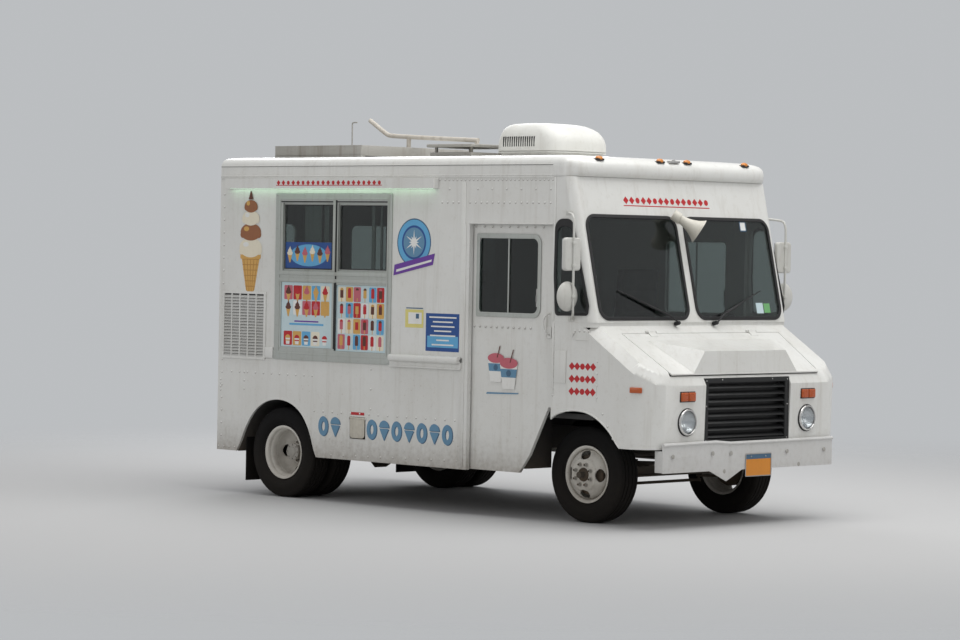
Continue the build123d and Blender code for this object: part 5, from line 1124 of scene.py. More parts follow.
# Headlamps: round sealed-beam lamps, a chromed ring screwed over a domed ribbed lens, with the
# mirror bowl behind it. They replace the plain lamps, in the same places on the nose.
LAMP_X = FRONT_AXLE_X + 0.8505
LAMP_Y, LAMP_Z = 0.717, 0.806
chrome = weathered("lamp_chrome", (0.72, 0.72, 0.71), 0.16, metallic=1.0, dirt=0.15, streaks=0.1, rust=0.15,
                   bump=0.04)
bowl = weathered("mirror_bowl", (0.78, 0.79, 0.8), 0.18, metallic=1.0, dirt=0.05, streaks=0.0, rust=0.0,
                 bump=0.02)
clear_lens = pane_look("clear_lens", (0.93, 0.95, 0.96), 0.08)
# Near black for the thin ring round each chrome ring: painted shade of the gap between ring and nose.
lamp_rubber = weathered("lamp_rubber", (0.012, 0.012, 0.013), 0.5, dirt=0.1, streaks=0.0, rust=0.0,
                        bump=0.05)
for side, name in ((-1, "right"), (1, "left")):
    spot = (LAMP_X, side * LAMP_Y, LAMP_Z)
    ring = turned([(0.084, -0.012), (0.1, -0.012), (0.1005, 0.0), (0.099, 0.006), (0.094, 0.0105),
                   (0.087, 0.011), (0.084, 0.007)], spot, (1, 0, 0), 56)
    screws = [turned([(0.0, 0.012), (0.004, 0.0115), (0.0045, 0.009), (0.0045, 0.004)],
                     (spot[0], spot[1] + 0.0925 * math.cos(a), spot[2] + 0.0925 * math.sin(a)), (1, 0, 0),
                     8, closed=False) for a in (math.pi / 2, math.pi * 7 / 6, math.pi * 11 / 6)]
    # A dark ring just outside the chrome ring: painted shade of the gap.
    gap_shade_ring = turned([(0.099, -0.012), (0.106, -0.012), (0.106, -0.003), (0.103, 0.001), (0.099, 0.001)], spot,
                  (1, 0, 0), 56)
    settle(smooth(gap_shade_ring, 40), "headlamp_seal_" + name, "chassis", "rubber", lamp_rubber)
    settle(smooth(joined([ring, *screws]), 40), "headlamp_ring_" + name, "chassis", "steel", chrome,
           *(["headlamps"] if side < 0 else []))
    back = turned([(0.0, -0.066), (0.03, -0.062), (0.062, -0.038), (0.08, -0.014), (0.0838, -0.008),
                   (0.0842, -0.004), (0.086, -0.004), (0.086, -0.016), (0.066, -0.046), (0.032, -0.069),
                   (0.0, -0.0705)], spot, (1, 0, 0), 48, closed=False)
    settle(smooth(back, 50), "headlamp_bowl_" + name, "chassis", "lens_clear", bowl)
    lens = turned([(0.0, 0.016), (0.035, 0.0145), (0.065, 0.0095), (0.082, 0.0015), (0.0835, -0.003),
                   (0.079, -0.004), (0.06, 0.003), (0.033, 0.0075), (0.0, 0.009)], spot, (1, 0, 0), 48,
                  closed=False)
    ribs = []
    for k in range(-5, 6):
        y = k * 0.0135
        reach = math.sqrt(max(0.07 ** 2 - y * y, 0.0001))
        ribs.append(box_piece(spot[0] + 0.004, spot[0] + 0.0075 + 0.007 * (1 - (y / 0.082) ** 2),
                              spot[1] + y - 0.0012, spot[1] + y + 0.0012, spot[2] - reach, spot[2] + reach,
                              0.0005, 1))
    settle(smooth(joined([lens, *ribs]), 40), "headlamp_lens_" + name, "chassis", "lens_clear", clear_lens)

# Amber lamps: two-cell turn lamps on the nose, a marker on each side and four on the brow, all
# moulded lenses over small bases, with a plate lamp of steel between the four.
amber_look = weathered("amber_moulding", (0.48, 0.085, 0.008), 0.22, dirt=0.15, streaks=0.0, rust=0.0,
                       bump=0.05, coat=0.4)
amber_parts, base_parts = [], []
TURN_X = FRONT_AXLE_X + 0.8455
for side in (-1, 1):
    y0, y1 = side * 0.721 - 0.0875, side * 0.721 + 0.0875
    base_parts.append(box_piece(TURN_X - 0.002, TURN_X + 0.005, y0, y1, 0.957, 1.037, 0.003))
    for low, high in ((y0 + 0.006, side * 0.721 - 0.004), (side * 0.721 + 0.004, y1 - 0.006)):
        amber_parts.append(box_piece(TURN_X + 0.002, TURN_X + 0.0185, low, high, 0.964, 1.03, 0.006, 3))
        for k in range(1, 6):
            z = 0.964 + 0.011 * k
            amber_parts.append(box_piece(TURN_X + 0.017, TURN_X + 0.0193, low + 0.008, high - 0.008,
                                         z - 0.0012, z + 0.0012, 0.0))
    marker_spot = (FRONT_AXLE_X + 0.714, side * (-CAB_SIDE_Y - 0.0085), 1.049)
    marker_place = Matrix.Translation(marker_spot) @ Matrix.Rotation(-side * math.radians(19), 4, "Z")
    marker = box_piece(-0.049, 0.049, -0.007, 0.01, -0.021, 0.021, 0.0065, 3)
    if side < 0:
        marker_place = marker_place @ Matrix.Rotation(math.pi, 4, "Z")
    marker.matrix_world = marker_place
    amber_parts.append(apply_place(marker))
BROW_X = FRONT_AXLE_X + 0.044
brow_amber = weathered("brow_amber", (0.62, 0.21, 0.02), 0.25, dirt=0.3, streaks=0.1, rust=0.0, bump=0.05,
                       coat=0.3)
brow_domes = []
for y, half in ((-0.867, 0.036), (-0.161, 0.036), (0.161, 0.036), (0.867, 0.036)):
    deselect()
    bpy.ops.mesh.primitive_uv_sphere_add(segments=24, ring_count=12, radius=1, location=(0, 0, 0))
    dome = bpy.context.object
    dome.scale = (0.024, half, 0.017)
    apply_place(dome)
    dome.matrix_world = Matrix.Translation((BROW_X, y, 2.786)) @ Matrix.Rotation(math.radians(24), 4, "Y")
    brow_domes.append(apply_place(dome))
    base_parts.append(box_piece(BROW_X - 0.026, BROW_X + 0.02, y - half - 0.003, y + half + 0.003, 2.767,
                                2.783, 0.003))
settle(smooth(joined(amber_parts), 40), "amber_lenses", "chassis", "lens_amber", amber_look, "amber_lamps")
settle(smooth(joined(brow_domes), 60), "brow_lamps", "chassis", "lens_amber", brow_amber)
settle(smooth(joined(base_parts), 40), "lamp_bases", "chassis", "rubber", dark_gap)
plate_lamp = joined([box_piece(BROW_X - 0.02, BROW_X + 0.018, -0.06, 0.06, 2.772, 2.79, 0.004),
                     turned([(0.0, 0.016), (0.01, 0.014), (0.015, 0.006), (0.015, 0.0)],
                            (BROW_X, 0.0, 2.788), (0.35, 0, 1), 20, closed=False)])
settle(smooth(plate_lamp, 40), "brow_centre_lamp", "chassis", "steel", steel)

# Registration plate: a blank orange plate with a dark band along its top edge, in a thin
# frame with two screws, on the bumper's face.
orange = film("plate_orange", (0.72, 0.26, 0.015))
PLATE_X = FRONT_AXLE_X + 0.871
plate_piece = plate([rounded(rect(-0.054, 0.257, 0.376, 0.549), 0.008)], 0.0012, on_front(PLATE_X - 0.001),
                    0.0003)
band = plate([rounded(rect(-0.05, 0.253, 0.508, 0.545), [0.002, 0.002, 0.006, 0.006])], FILM_THICKNESS,
             on_front(PLATE_X + 0.0004))
frame_ring = plate([rounded(rect(-0.056, 0.259, 0.374, 0.551), 0.009),
                    rounded(rect(-0.048, 0.251, 0.381, 0.544), 0.006)], 0.003, on_front(PLATE_X + 0.0001),
                   0.001)
board_parts = []
for x0, x1, z0, z1 in WINDOW_PANES[2:]:
    board_parts.append(side_plate([rect(x0 + 0.001, x1 - 0.001, z0 + 0.001, z1 - 0.001)], 0.01,
                                  SIDE_Y + 0.008, 0.001))
settle(joined(board_parts), "menu_boards", "chassis", "board", board_blue, "signs")
settle(plate_piece, "registration_plate", "chassis", "board", orange)
settle(band, "plate_band", "chassis", "board", shade_blue)
plate_screws = [turned([(0.0, 0.005), (0.005, 0.004), (0.006, 0.0)], (PLATE_X + 0.0004, y, 0.527),
                       (1, 0, 0), 8, closed=False) for y in (0.015, 0.188)]
settle(joined([frame_ring, *plate_screws]), "plate_frame", "chassis", "steel", steel)

# Wipers: black pressed arms from the cowl, parked low across each pane, each with a sprung
# link that carries a rubber blade on the glass.
wiper_parts = []


def on_glass(y, z, out):
    """A point at a height, standing out from the raked windscreen."""
    base = Vector((SCREEN_X - SCREEN_RAKE * (z - SCREEN_Z), y, z))
    return base + screen_out * out


for side in (-1, 1):
    pivot = Vector((FRONT_AXLE_X + 0.312, side * 0.228, 1.532))
    wiper_parts.append(turned([(0.0, 0.026), (0.012, 0.024), (0.016, 0.014), (0.017, -0.022),
                               (0.0, -0.022)], tuple(pivot), tuple(screen_out), 20, closed=False))
    knee = on_glass(side * 0.33, 1.588, 0.034)
    tip = on_glass(side * 0.56, 1.672, 0.024)
    wiper_parts.append(curve_piece([[tuple(pivot + screen_out * 0.018), tuple(knee), tuple(tip)]],
                                   radius=0.0065, resolution=2))
    low, high = on_glass(side * 0.315, 1.592, 0.012), on_glass(side * 0.85, 1.778, 0.012)
    wiper_parts.append(curve_piece([[tuple(low), tuple(high)]], radius=0.0048, resolution=2))
    spine = [tuple(low.lerp(high, t) + screen_out * (0.006 + 0.01 * math.sin(math.pi * t)))
             for t in (0.12, 0.3, 0.5, 0.7, 0.88)]
    wiper_parts.append(curve_piece([spine], radius=0.0035, resolution=2))
settle(smooth(joined(wiper_parts), 50), "wiper_arms", "chassis", "black_metal", dark_gap, "wipers")

# Loudspeaker: a spun aluminium horn, flared at its mouth, with its driver behind, on a bracket
# at the top of the windscreen's centre post, pointing forwards and down.
horn_axis = Vector((0.6, 0.6, -0.53)).normalized()
horn_base = Vector((FRONT_AXLE_X + 0.2, -0.11, 2.345))
horn_section = [(0.0, -0.05), (0.038, -0.05), (0.042, -0.044), (0.042, 0.01), (0.034, 0.016), (0.034, 0.04),
                (0.04, 0.07), (0.052, 0.11), (0.07, 0.15), (0.094, 0.185), (0.1, 0.19), (0.101, 0.194),
                (0.094, 0.193), (0.066, 0.156), (0.046, 0.112), (0.034, 0.07), (0.026, 0.05), (0.0, 0.048)]
horn_paint = weathered("horn_cream", (0.62, 0.6, 0.53), 0.42, top=3.2, dirt=0.25, streaks=0.5, rust=0.5)
horn_piece = turned(horn_section, tuple(horn_base), tuple(horn_axis), 56, closed=False)
throat = turned([(0.0, 0.085), (0.012, 0.08), (0.02, 0.062), (0.022, 0.05)], tuple(horn_base),
                tuple(horn_axis), 24, closed=False)
strap = axle_box(0.108, 0.116, -0.028, 0.028, 2.3, 2.372, 0.003)
stem = curve_piece([[(FRONT_AXLE_X + 0.112, 0.0, 2.338), (FRONT_AXLE_X + 0.15, -0.05, 2.352),
                     tuple(horn_base)]], radius=0.011, resolution=4, smooth_line=True)
settle(smooth(joined([horn_piece, throat, strap, stem]), 45), "horn_form", "chassis", "horn", horn_paint,
       "loudspeaker")

# Mirrors: a bent tube loop on each cab side, a tall head in a pressed shell with rounded
# corners and a round convex one under it, both with dull backs to the front.
mirror_shell = weathered("mirror_shell", (0.6, 0.6, 0.57), 0.45, top=2.4, dirt=0.25, streaks=0.5, rust=0.6)
arm_line = from_axle((0.02, -1.168, 2.362), (0.1, -1.222, 2.352), (0.14, -1.258, 2.345),
                     (0.163, -1.264, 2.3), (0.163, -1.264, 2.15), (0.163, -1.264, 1.9),
                     (0.163, -1.264, 1.66), (0.155, -1.252, 1.6), (0.12, -1.22, 1.585),
                     (0.06, -1.168, 1.56))
mirror_parts = [curve_piece([arm_line], radius=0.0095, resolution=4, smooth_line=True)]
for x, z in ((0.02, 2.362), (0.06, 1.56)):
    mirror_parts.append(axle_box(x - 0.03, x + 0.03, -1.172, -1.1655, z - 0.018, z + 0.018, 0.003))
mirror_parts.append(plate([rounded(rect(-1.35, -1.175, 1.925, 2.175), 0.028)], 0.04,
                          on_front(FRONT_AXLE_X + 0.118), 0.012, 4))
round_section = [(0.0, 0.036), (0.04, 0.034), (0.08, 0.026), (0.104, 0.014), (0.1125, 0.004), (0.1125, 0.0),
                 (0.0, 0.0)]
mirror_parts.append(turned(round_section, (FRONT_AXLE_X + 0.126, -1.292, 1.732), (1, 0, 0), 48,
                           closed=False))
for z in (1.965, 2.135, 1.732):
    mirror_parts.append(axle_box(0.15, 0.176, -1.28, -1.248, z - 0.012, z + 0.012, 0.003))
mirror_piece = smooth(joined(mirror_parts), 40)
settle(both_sides(mirror_piece), "mirror_frames", "chassis", "steel", mirror_shell, "mirrors")
mirror_silver = pane_look("mirror_silver", (0.75, 0.78, 0.8), 0.05)
for label, value in (("Metallic", 1.0), ("Transmission Weight", 0.0)):
    mirror_silver.node_tree.nodes["Principled BSDF"].inputs[label].default_value = value
dress(mirror_silver, "mirror_glass")

# Nose trim: a pull strip by the quarter window, the grille's blades in their black frame with
# its screws, and the small stickers on the windscreen.
nose_parts = []
grip = from_axle((0.075, -1.166, 1.425), (0.08, -1.178, 1.45), (0.11, -1.18, 1.462))
nose_parts.append(curve_piece([grip], radius=0.005, resolution=3, smooth_line=True))
nose_parts.append(curve_piece([from_axle((0.11, -1.1665, 1.405), (0.235, -1.1665, 1.405))], radius=0.004,
                              resolution=2))
settle(both_sides(smooth(joined(nose_parts), 50)), "nose_trim", "chassis", "body_paint", enamel)
grille_parts = []
for k in range(8):
    z = 1.066 - k * 0.0535
    blade = box_piece(-0.022, 0.022, -0.457, 0.457, -0.004, 0.004, 0.002)
    blade_middle = Matrix.Translation((FRONT_AXLE_X + 0.814, 0, z))
    blade.matrix_world = blade_middle @ Matrix.Rotation(math.radians(38), 4, "Y")
    grille_parts.append(apply_place(blade))
grille_parts.append(plate([rect(-0.507, 0.507, 0.641, 1.131), rect(-0.46, 0.46, 0.668, 1.096)], 0.012,
                          on_front(FRONT_AXLE_X + 0.822), 0.003))
grille_parts.append(plate([rect(-0.5, 0.5, 0.645, 1.128)], 0.004, on_front(FRONT_AXLE_X + 0.768)))
for y in (-0.46, 0.46):
    grille_parts.append(axle_box(0.77, 0.83, y - 0.003, y + 0.003, 0.665, 1.1, 0.001))
grille_black = weathered("grille_black", (0.007, 0.0075, 0.008), 0.45, top=0.9, dirt=0.06, streaks=0.1,
                         rust=0.05, dirt_colour=(0.08, 0.07, 0.055))
settle(smooth(joined(grille_parts), 35), "grille_blades", "chassis", "black_metal", grille_black, "grille")
grille_bolts = [(FRONT_AXLE_X + 0.8345, y, z) for y, z in ((-0.484, 1.112), (0.484, 1.112), (0.3, 1.118),
                                                           (-0.3, 1.118), (-0.484, 0.66), (0.484, 0.66),
                                                           (0.484, 0.92), (-0.484, 0.92))]
settle(copies(turned([(0.0, 0.003), (0.004, 0.0025), (0.0055, 0.0)], (0, 0, 0), (1, 0, 0), 8, closed=False),
              grille_bolts), "grille_screws", "chassis", "steel", steel)
green_film = film("film_green", (0.16, 0.42, 0.16))
for tint_name, outline, lift, look in (
    ("dark", rounded(rect(0.735, 0.815, 0.735, 0.815), 0.004), 0.0005, shade_blue),
    ("white", rounded(rect(0.745, 0.805, 0.743, 0.807), 0.004), 0.001, pale_film),
    ("green", rect(0.88, 0.955, 0.075, 0.15), 0.0005, green_film),
    ("pale", rect(0.785, 0.87, 0.07, 0.155), 0.0005, board_blue),
):
    settle(plate([outline], 0.0004, on_screen(lift)), "screen_sticker_" + tint_name, "chassis", "board",
           look)

# Roof skin: one sheet, crowned across, that is rolled down over the eaves along both sides
# and swells into a fat round brow over the windscreen.
def stacked(levels, steps=7):
    """A closed body through flat rounded outlines, each of (z, rear x, front x, half width, corner)."""
    rings = []
    for z, rear, front, half_width, corner in levels:
        corners = [0.002 if corner > 0.0 and rear < -2.3 else corner, corner, corner,
                   0.002 if rear < -2.3 else corner]
        outline = rounded([(rear, -half_width), (front, -half_width), (front, half_width),
                           (rear, half_width)], corners, steps)
        rings.append(curve_piece([[(x, y, z) for x, y in outline]], cyclic=True))
    mesh = bpy.ops.mesh
    body = edited(joined(rings), (mesh.bridge_edge_loops, {}), (mesh.select_all, {"action": "DESELECT"}),
                  (mesh.select_mode, {"type": "EDGE"}), (mesh.select_non_manifold, {}),
                  (mesh.fill_holes, {"sides": 0}))
    return outward(body)


ROOF_REAR_X = -2.34
roof_levels = [(2.6412, 1.642, 1.168, 0.1), (2.645, 1.66, 1.169, 0.12), (2.656, 1.676, 1.17, 0.14),
               (2.676, 1.686, 1.17, 0.15), (2.71, 1.689, 1.17, 0.15), (2.74, 1.682, 1.169, 0.15),
               (2.76, 1.668, 1.162, 0.145), (2.776, 1.646, 1.148, 0.14), (2.788, 1.614, 1.126, 0.13),
               (2.796, 1.57, 1.096, 0.12), (2.802, 1.51, 1.05, 0.11), (2.81, 1.4, 0.92, 0.1),
               (2.818, 1.22, 0.72, 0.1), (2.825, 0.95, 0.46, 0.1), (2.829, 0.65, 0.2, 0.08)]
roof_form = stacked([(z, ROOF_REAR_X, front, half_width, corner) for z, front, half_width,
                     corner in roof_levels])
settle(smooth(roof_form, 40), "roof_skin", "chassis", "body_paint", enamel, "roof")
bead_parts = [box_piece(-2.338, FRONT_AXLE_X - 0.15, -1.1745, -1.1685, 2.729, 2.737, 0.002),
              box_piece(-2.338, FRONT_AXLE_X - 0.15, -1.1765, -1.1685, 2.643, 2.656, 0.003)]
settle(both_sides(joined(bead_parts)), "roof_beads", "chassis", "body_paint", enamel)
# Thin dark strips just under the two beads: painted shadow lines where the beads overhang the side.
bead_shadow_parts = [box_piece(-2.338, FRONT_AXLE_X - 0.15, -1.1708, -1.169, 2.7262, 2.729, 0.0),
                box_piece(-2.338, FRONT_AXLE_X - 0.15, -1.1708, -1.169, 2.6385, 2.643, 0.0)]
settle(both_sides(joined(bead_shadow_parts)), "roof_grooves", "chassis", "rubber", dark_gap)

# Air conditioner: a moulded white shroud, rounded over and sloping at its front, with a row of louvres
# round its rear half drawn as dark slots of painted shade, and a shadow gap over its base pan.
shroud = weathered("shroud_plastic", (0.72, 0.72, 0.69), 0.42, top=3.1, dirt=0.15, streaks=0.25, rust=0.0)
AIR_X, AIR_Z = FRONT_AXLE_X - 1.25, 2.832
shroud_levels = [(2.866, -0.36, 0.36, 0.32, 0.13), (2.874, -0.369, 0.369, 0.329, 0.14),
                 (2.93, -0.37, 0.37, 0.33, 0.15), (2.97, -0.368, 0.362, 0.327, 0.16),
                 (3.005, -0.364, 0.342, 0.321, 0.17), (3.035, -0.356, 0.31, 0.31, 0.17),
                 (3.06, -0.342, 0.265, 0.292, 0.17), (3.08, -0.318, 0.205, 0.264, 0.16),
                 (3.092, -0.282, 0.135, 0.224, 0.14), (3.0975, -0.23, 0.06, 0.17, 0.11)]
shroud_shell = stacked([(z, AIR_X + rear, AIR_X + front, half_width, corner) for z, rear, front, half_width,
                        corner in shroud_levels])
base_pan = stacked([(AIR_Z, AIR_X - 0.335, AIR_X + 0.335, 0.295, 0.1),
                    (2.8655, AIR_X - 0.345, AIR_X + 0.345, 0.305, 0.11)])
flange = stacked([(2.856, AIR_X - 0.369, AIR_X + 0.369, 0.329, 0.14),
                  (2.86, AIR_X - 0.3699, AIR_X + 0.3699, 0.3299, 0.141),
                  (2.864, AIR_X - 0.369, AIR_X + 0.369, 0.329, 0.14)])
settle(smooth(joined([shroud_shell, base_pan, flange]), 45), "roof_unit_shroud", "chassis", "white_plastic",
       shroud, "air_conditioner")
# Dark slots laid on the shroud: painted shade for the louvre openings.
louvre_slot_shades = []
for side in (-1, 1):
    for k in range(15):
        x = AIR_X - 0.235 + k * 0.024
        louvre_slot_shades.append(box_piece(x, x + 0.011, side * 0.318, side * 0.3306, 2.905, 2.985, 0.001))
for k in range(18):
    y = -0.208 + k * 0.024
    louvre_slot_shades.append(box_piece(AIR_X - 0.3706, AIR_X - 0.36, y, y + 0.011, 2.905, 2.985, 0.001))
settle(joined(louvre_slot_shades), "roof_unit_louvres", "chassis", "rubber", dark_gap)

# Roof box, pipe and vent: a galvanised sheet box with standing ribs and a rolled rim, a bent
# pipe on two posts, a small hook, and a lidded vent ahead of the box.
galvanised = weathered("galvanised_sheet", (0.37, 0.36, 0.335), 0.55, metallic=0.15, top=3.0, dirt=0.5,
                       streaks=0.9, rust=0.7, bump=0.15)
pipe_paint = weathered("flaking_pipe_paint", (0.6, 0.56, 0.5), 0.5, top=3.3, dirt=0.3, streaks=0.8,
                       rust=2.5, bump=0.4)
roof_parts = [box_piece(-2.248, -1.192, -0.649, 0.649, 2.8325, 2.917, 0.004)]
for y in (-0.625, 0.625):
    roof_parts.append(box_piece(-2.248, -1.192, y - 0.024, y + 0.024, 2.8225, 2.84, 0.001))
for x in (-2.246, -1.98, -1.72, -1.46, -1.206):
    roof_parts.append(box_piece(x, x + 0.012, -0.6505, 0.6505, 2.838, 2.9195, 0.003))
roof_parts.append(box_piece(-2.25, -1.19, -0.65, -0.632, 2.91, 2.92, 0.003))
roof_parts.append(box_piece(-2.25, -1.19, 0.632, 0.65, 2.91, 2.92, 0.003))
pipe_line = [(-1.763, 0.0, 3.157), (-1.7, 0.0, 3.12), (-1.6, 0.0, 3.061), (-1.537, 0.0, 3.027),
             (-1.45, 0.0, 3.02), (-1.2, 0.0, 3.007), (-0.8, 0.0, 2.988), (-0.475, 0.0, 2.974)]
pipe_parts = [curve_piece([pipe_line], radius=0.0195, resolution=5, smooth_line=True)]
for x, z0, z1 in ((-1.29, 2.915, 3.008), (-0.49, 2.925, 2.972)):
    pipe_parts.append(box_piece(x - 0.014, x + 0.014, -0.014, 0.014, z0, z1, 0.003))
settle(smooth(joined(pipe_parts), 40), "roof_pipe", "chassis", "steel", pipe_paint)
hook = [(-1.51, -0.45, 2.918), (-1.51, -0.45, 3.06), (-1.512, -0.45, 3.112), (-1.495, -0.45, 3.118),
        (-1.452, -0.45, 3.117)]
roof_parts.append(curve_piece([hook], radius=0.0055, resolution=3, smooth_line=True))
roof_parts.append(box_piece(-0.628, -0.152, -0.408, 0.068, 2.8325, 2.862, 0.004))
roof_parts.append(box_piece(-0.65, -0.13, -0.43, 0.09, 2.902, 2.929, 0.008, 3))
for x in (-0.59, -0.19):
    for y in (-0.37, 0.03):
        roof_parts.append(box_piece(x - 0.01, x + 0.01, y - 0.01, y + 0.01, 2.86, 2.904, 0.001))
settle(smooth(joined(roof_parts), 40), "roof_sheet_metal", "chassis", "galvanised", galvanised, "roof_gear")

# Counter ledge: a painted aluminium sill with a full round nose, on a flat back plate.
ledge_x0, ledge_x1 = -0.262, 0.527
nose_bar = box_piece(ledge_x0, ledge_x1, -1.2255, -1.1705, 1.174, 1.231, 0.0225, 5)
ledge_parts = [nose_bar, box_piece(ledge_x0, ledge_x1, -1.193, -1.1705, 1.129, 1.226, 0.004),
               box_piece(ledge_x0, ledge_x1, -1.199, -1.19, 1.129, 1.142, 0.003),
               box_piece(ledge_x1 - 0.004, ledge_x1, -1.224, -1.1705, 1.184, 1.23, 0.002)]
settle(smooth(joined(ledge_parts), 45), "counter_sill", "chassis", "body_paint", enamel, "counter_ledge")

# Ventilation grille: a white frame of five bays, each with a stack of louvres, painted grey for their
# shade, over a dark sheet that is painted shade for the opening behind them, and the small box beside it.
VENT_X0, VENT_X1, VENT_Z0, VENT_Z1 = -2.28, -1.75, 1.127, 1.69
vent_frame = [rect(VENT_X0, VENT_X1, VENT_Z0, VENT_Z1)]
bays = []
for k in range(5):
    x = VENT_X0 + 0.018 + k * 0.1005
    bays.append((x, x + 0.088))
    vent_frame.append(rect(x, x + 0.088, VENT_Z0 + 0.02, VENT_Z1 - 0.02))
vent_parts = [plate(vent_frame, 0.0125, on_side(SIDE_Y - 0.0005), 0.002)]
blades = []
for low, high in bays:
    for i in range(21):
        z = VENT_Z0 + 0.03 + i * 0.0245
        blade = box_piece(low, high, -0.0115, 0.0115, -0.001, 0.001, 0.0)
        blade.matrix_world = Matrix.Translation((0, SIDE_Y - 0.0068, z)) @ Matrix.Rotation(math.radians(62),
                4, "X")
        blades.append(apply_place(blade))
vent_parts.append(box_piece(-1.742, -1.648, -1.192, -1.1705, 1.145, 1.236, 0.006))
settle(smooth(joined(vent_parts), 35), "vent_surround", "chassis", "body_paint", enamel, "vent_grille")
# The louvres are white like the frame; their grey, with its dirt, is painted shade on the angled blades.
louvre_grey = weathered("louvre_grey", (0.56, 0.56, 0.54), 0.4, dirt=0.8, streaks=0.3, rust=0.5)
settle(joined(blades), "vent_louvres", "chassis", "body_paint", louvre_grey)
# A dark sheet behind the louvres: painted shade of the opening.
settle(box_piece(VENT_X0 + 0.01, VENT_X1 - 0.01, -1.1712, -1.1704, VENT_Z0 + 0.012, VENT_Z1 - 0.012, 0.0),
       "vent_shadow", "chassis", "rubber", dark_gap)

# Fuel flap: a small steel door with rounded lower corners on its pin, stained below by fuel.
flap_paint = weathered("flap_paint", (0.66, 0.63, 0.55), 0.5, top=1.2, dirt=0.6, streaks=0.4, rust=0.8)
flap_parts = [side_plate([rounded(rect(-2.33, -2.162, 0.5355, 0.692), [0.03, 0.03, 0.004, 0.004])], 0.0058,
                         SIDE_Y - 0.0002, 0.002),
              curve_piece([[(-0.72, -1.172, 0.696), (-0.552, -1.172, 0.696)]], radius=0.0078, resolution=4),
              side_plate([rounded(rect(-2.262, -2.232, 0.612, 0.626), 0.004)], 0.0065, SIDE_Y - 0.0002,
                         0.001)]
settle(smooth(joined(flap_parts), 40), "fuel_door", "fuel_flap", "body_paint", flap_paint, "fuel_flap")

# Counter light: a sheet box along the eaves with a frosted tube in its open underside.
glow, glow_tree, glow_shader = new_look("light_tube")
tube_noise = node(glow_tree, "TexNoise", {"Vector": node(glow_tree, "TexCoord").outputs["Object"],
                                          "Scale": 3.0})
wire(glow_tree, blend_colours(glow_tree, tube_noise.outputs["Fac"], (0.55, 0.95, 0.62, 1),
                              (0.7, 1.0, 0.78, 1)), glow_shader.inputs["Emission Color"])
wire(glow_tree, blend_colours(glow_tree, tube_noise.outputs["Fac"], (0.6, 0.8, 0.64, 1),
                              (0.7, 0.88, 0.74, 1)), glow_shader.inputs["Base Color"])
glow_shader.inputs["Emission Strength"].default_value = 2.2
tube = curve_piece([[(-2.19, -1.2, 2.556), (0.2, -1.2, 2.556)]], radius=0.011, resolution=4)
settle(smooth(tube, 50), "light_tube", "chassis", "lens_clear", glow)
box_ends = [box_piece(-2.222, -2.216, -1.231, -1.171, 2.546, 2.629, 0.002),
            box_piece(0.236, 0.242, -1.2305, -1.171, 2.546, 2.629, 0.002),
            box_piece(-2.216, 0.236, -1.2302, -1.2285, 2.6215, 2.629, 0.0005)]
settle(joined(box_ends), "light_box_ends", "chassis", "body_paint", enamel)

# Pressed panels: the bonnet with its edges rolled over, the nose, the cab and the bumper with
# soft shading, the bumper's carriage bolts, and the cowl's ledge below the windscreen.
def pressed(node_name, edge, name, body, slot_name, look, low=4, high=60, soft=35, rim_x=-9.0, rim_z=-9.0):
    """A copy of a solid with the ridges between low and high degrees rounded over, which stands for it."""
    panel = bpy.data.objects.new(name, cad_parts[node_name].data.copy())
    bpy.context.scene.collection.objects.link(panel)
    edited(panel, (bpy.ops.mesh.remove_doubles, {"threshold": 0.00005}),
           (bpy.ops.mesh.dissolve_limited, {"angle_limit": math.radians(0.5)}),
           (bpy.ops.mesh.select_all, {"action": "DESELECT"}), (bpy.ops.mesh.select_mode, {"type": "EDGE"}))
    faces_on = {}
    for face in panel.data.polygons:
        for key in face.edge_keys:
            faces_on.setdefault(key, []).append(face.normal)
    for line in panel.data.edges:
        normals = faces_on.get(line.key, [])
        bend = math.degrees(normals[0].angle(normals[1])) if len(normals) == 2 else 0.0
        ends = [panel.data.vertices[i].co for i in line.vertices]
        middle = (ends[0] + ends[1]) / 2
        line.select = low < bend < high and middle.x > rim_x and middle.z > rim_z
    if edge:
        bpy.ops.object.mode_set(mode="EDIT")
        bpy.ops.mesh.bevel(offset=edge, segments=4, profile=0.5, clamp_overlap=True)
        bpy.ops.object.mode_set(mode="OBJECT")
    smooth(panel, soft)
    modify(panel, "WEIGHTED_NORMAL", mode="FACE_AREA", weight=60, keep_sharp=True)
    return settle(panel, name, body, slot_name, look, node_name)


pressed("hood", 0.03, "bonnet_panel", "hood", "body_paint", enamel, 4, 80, 50, 2.0, 1.2)
pressed("nose", 0.0, "nose_panels", "chassis", "body_paint", enamel)
pressed("cab_shell", 0.0, "cab_panels", "chassis", "body_paint", enamel)
bumper_bolts = []
for bolt_y, bolt_z in ((-0.906, 0.555), (-0.446, 0.565), (-0.231, 0.56), (0.446, 0.555), (0.906, 0.555),
                       (-0.3, 0.425), (0.6, 0.45)):
    hit, spot, facing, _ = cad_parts["front_bumper"].ray_cast((3.0, bolt_y, bolt_z), (-1, 0, 0))
    if hit:
        bumper_bolts.append(turned_to(facing, spot))
carriage_bolt = turned([(0.0, 0.003), (0.007, 0.0027), (0.0115, 0.0016), (0.013, 0.001), (0.0165, 0.0008),
                        (0.017, -0.001)], (0, 0, 0), (0, 0, 1), 16, closed=False)
settle(smooth(copies(carriage_bolt, bumper_bolts), 50), "bumper_bolts", "chassis", "steel", nut_steel)
pressed("front_bumper", 0.0, "bumper_channel", "chassis", "bumper_paint", bumper_paint)
cowl_corner = box_piece(1.62, 1.892, -1.162, 1.162, 1.5, 1.5368, 0.0)
edited(cowl_corner, (bpy.ops.mesh.select_mode, {"type": "EDGE"}), action="DESELECT")
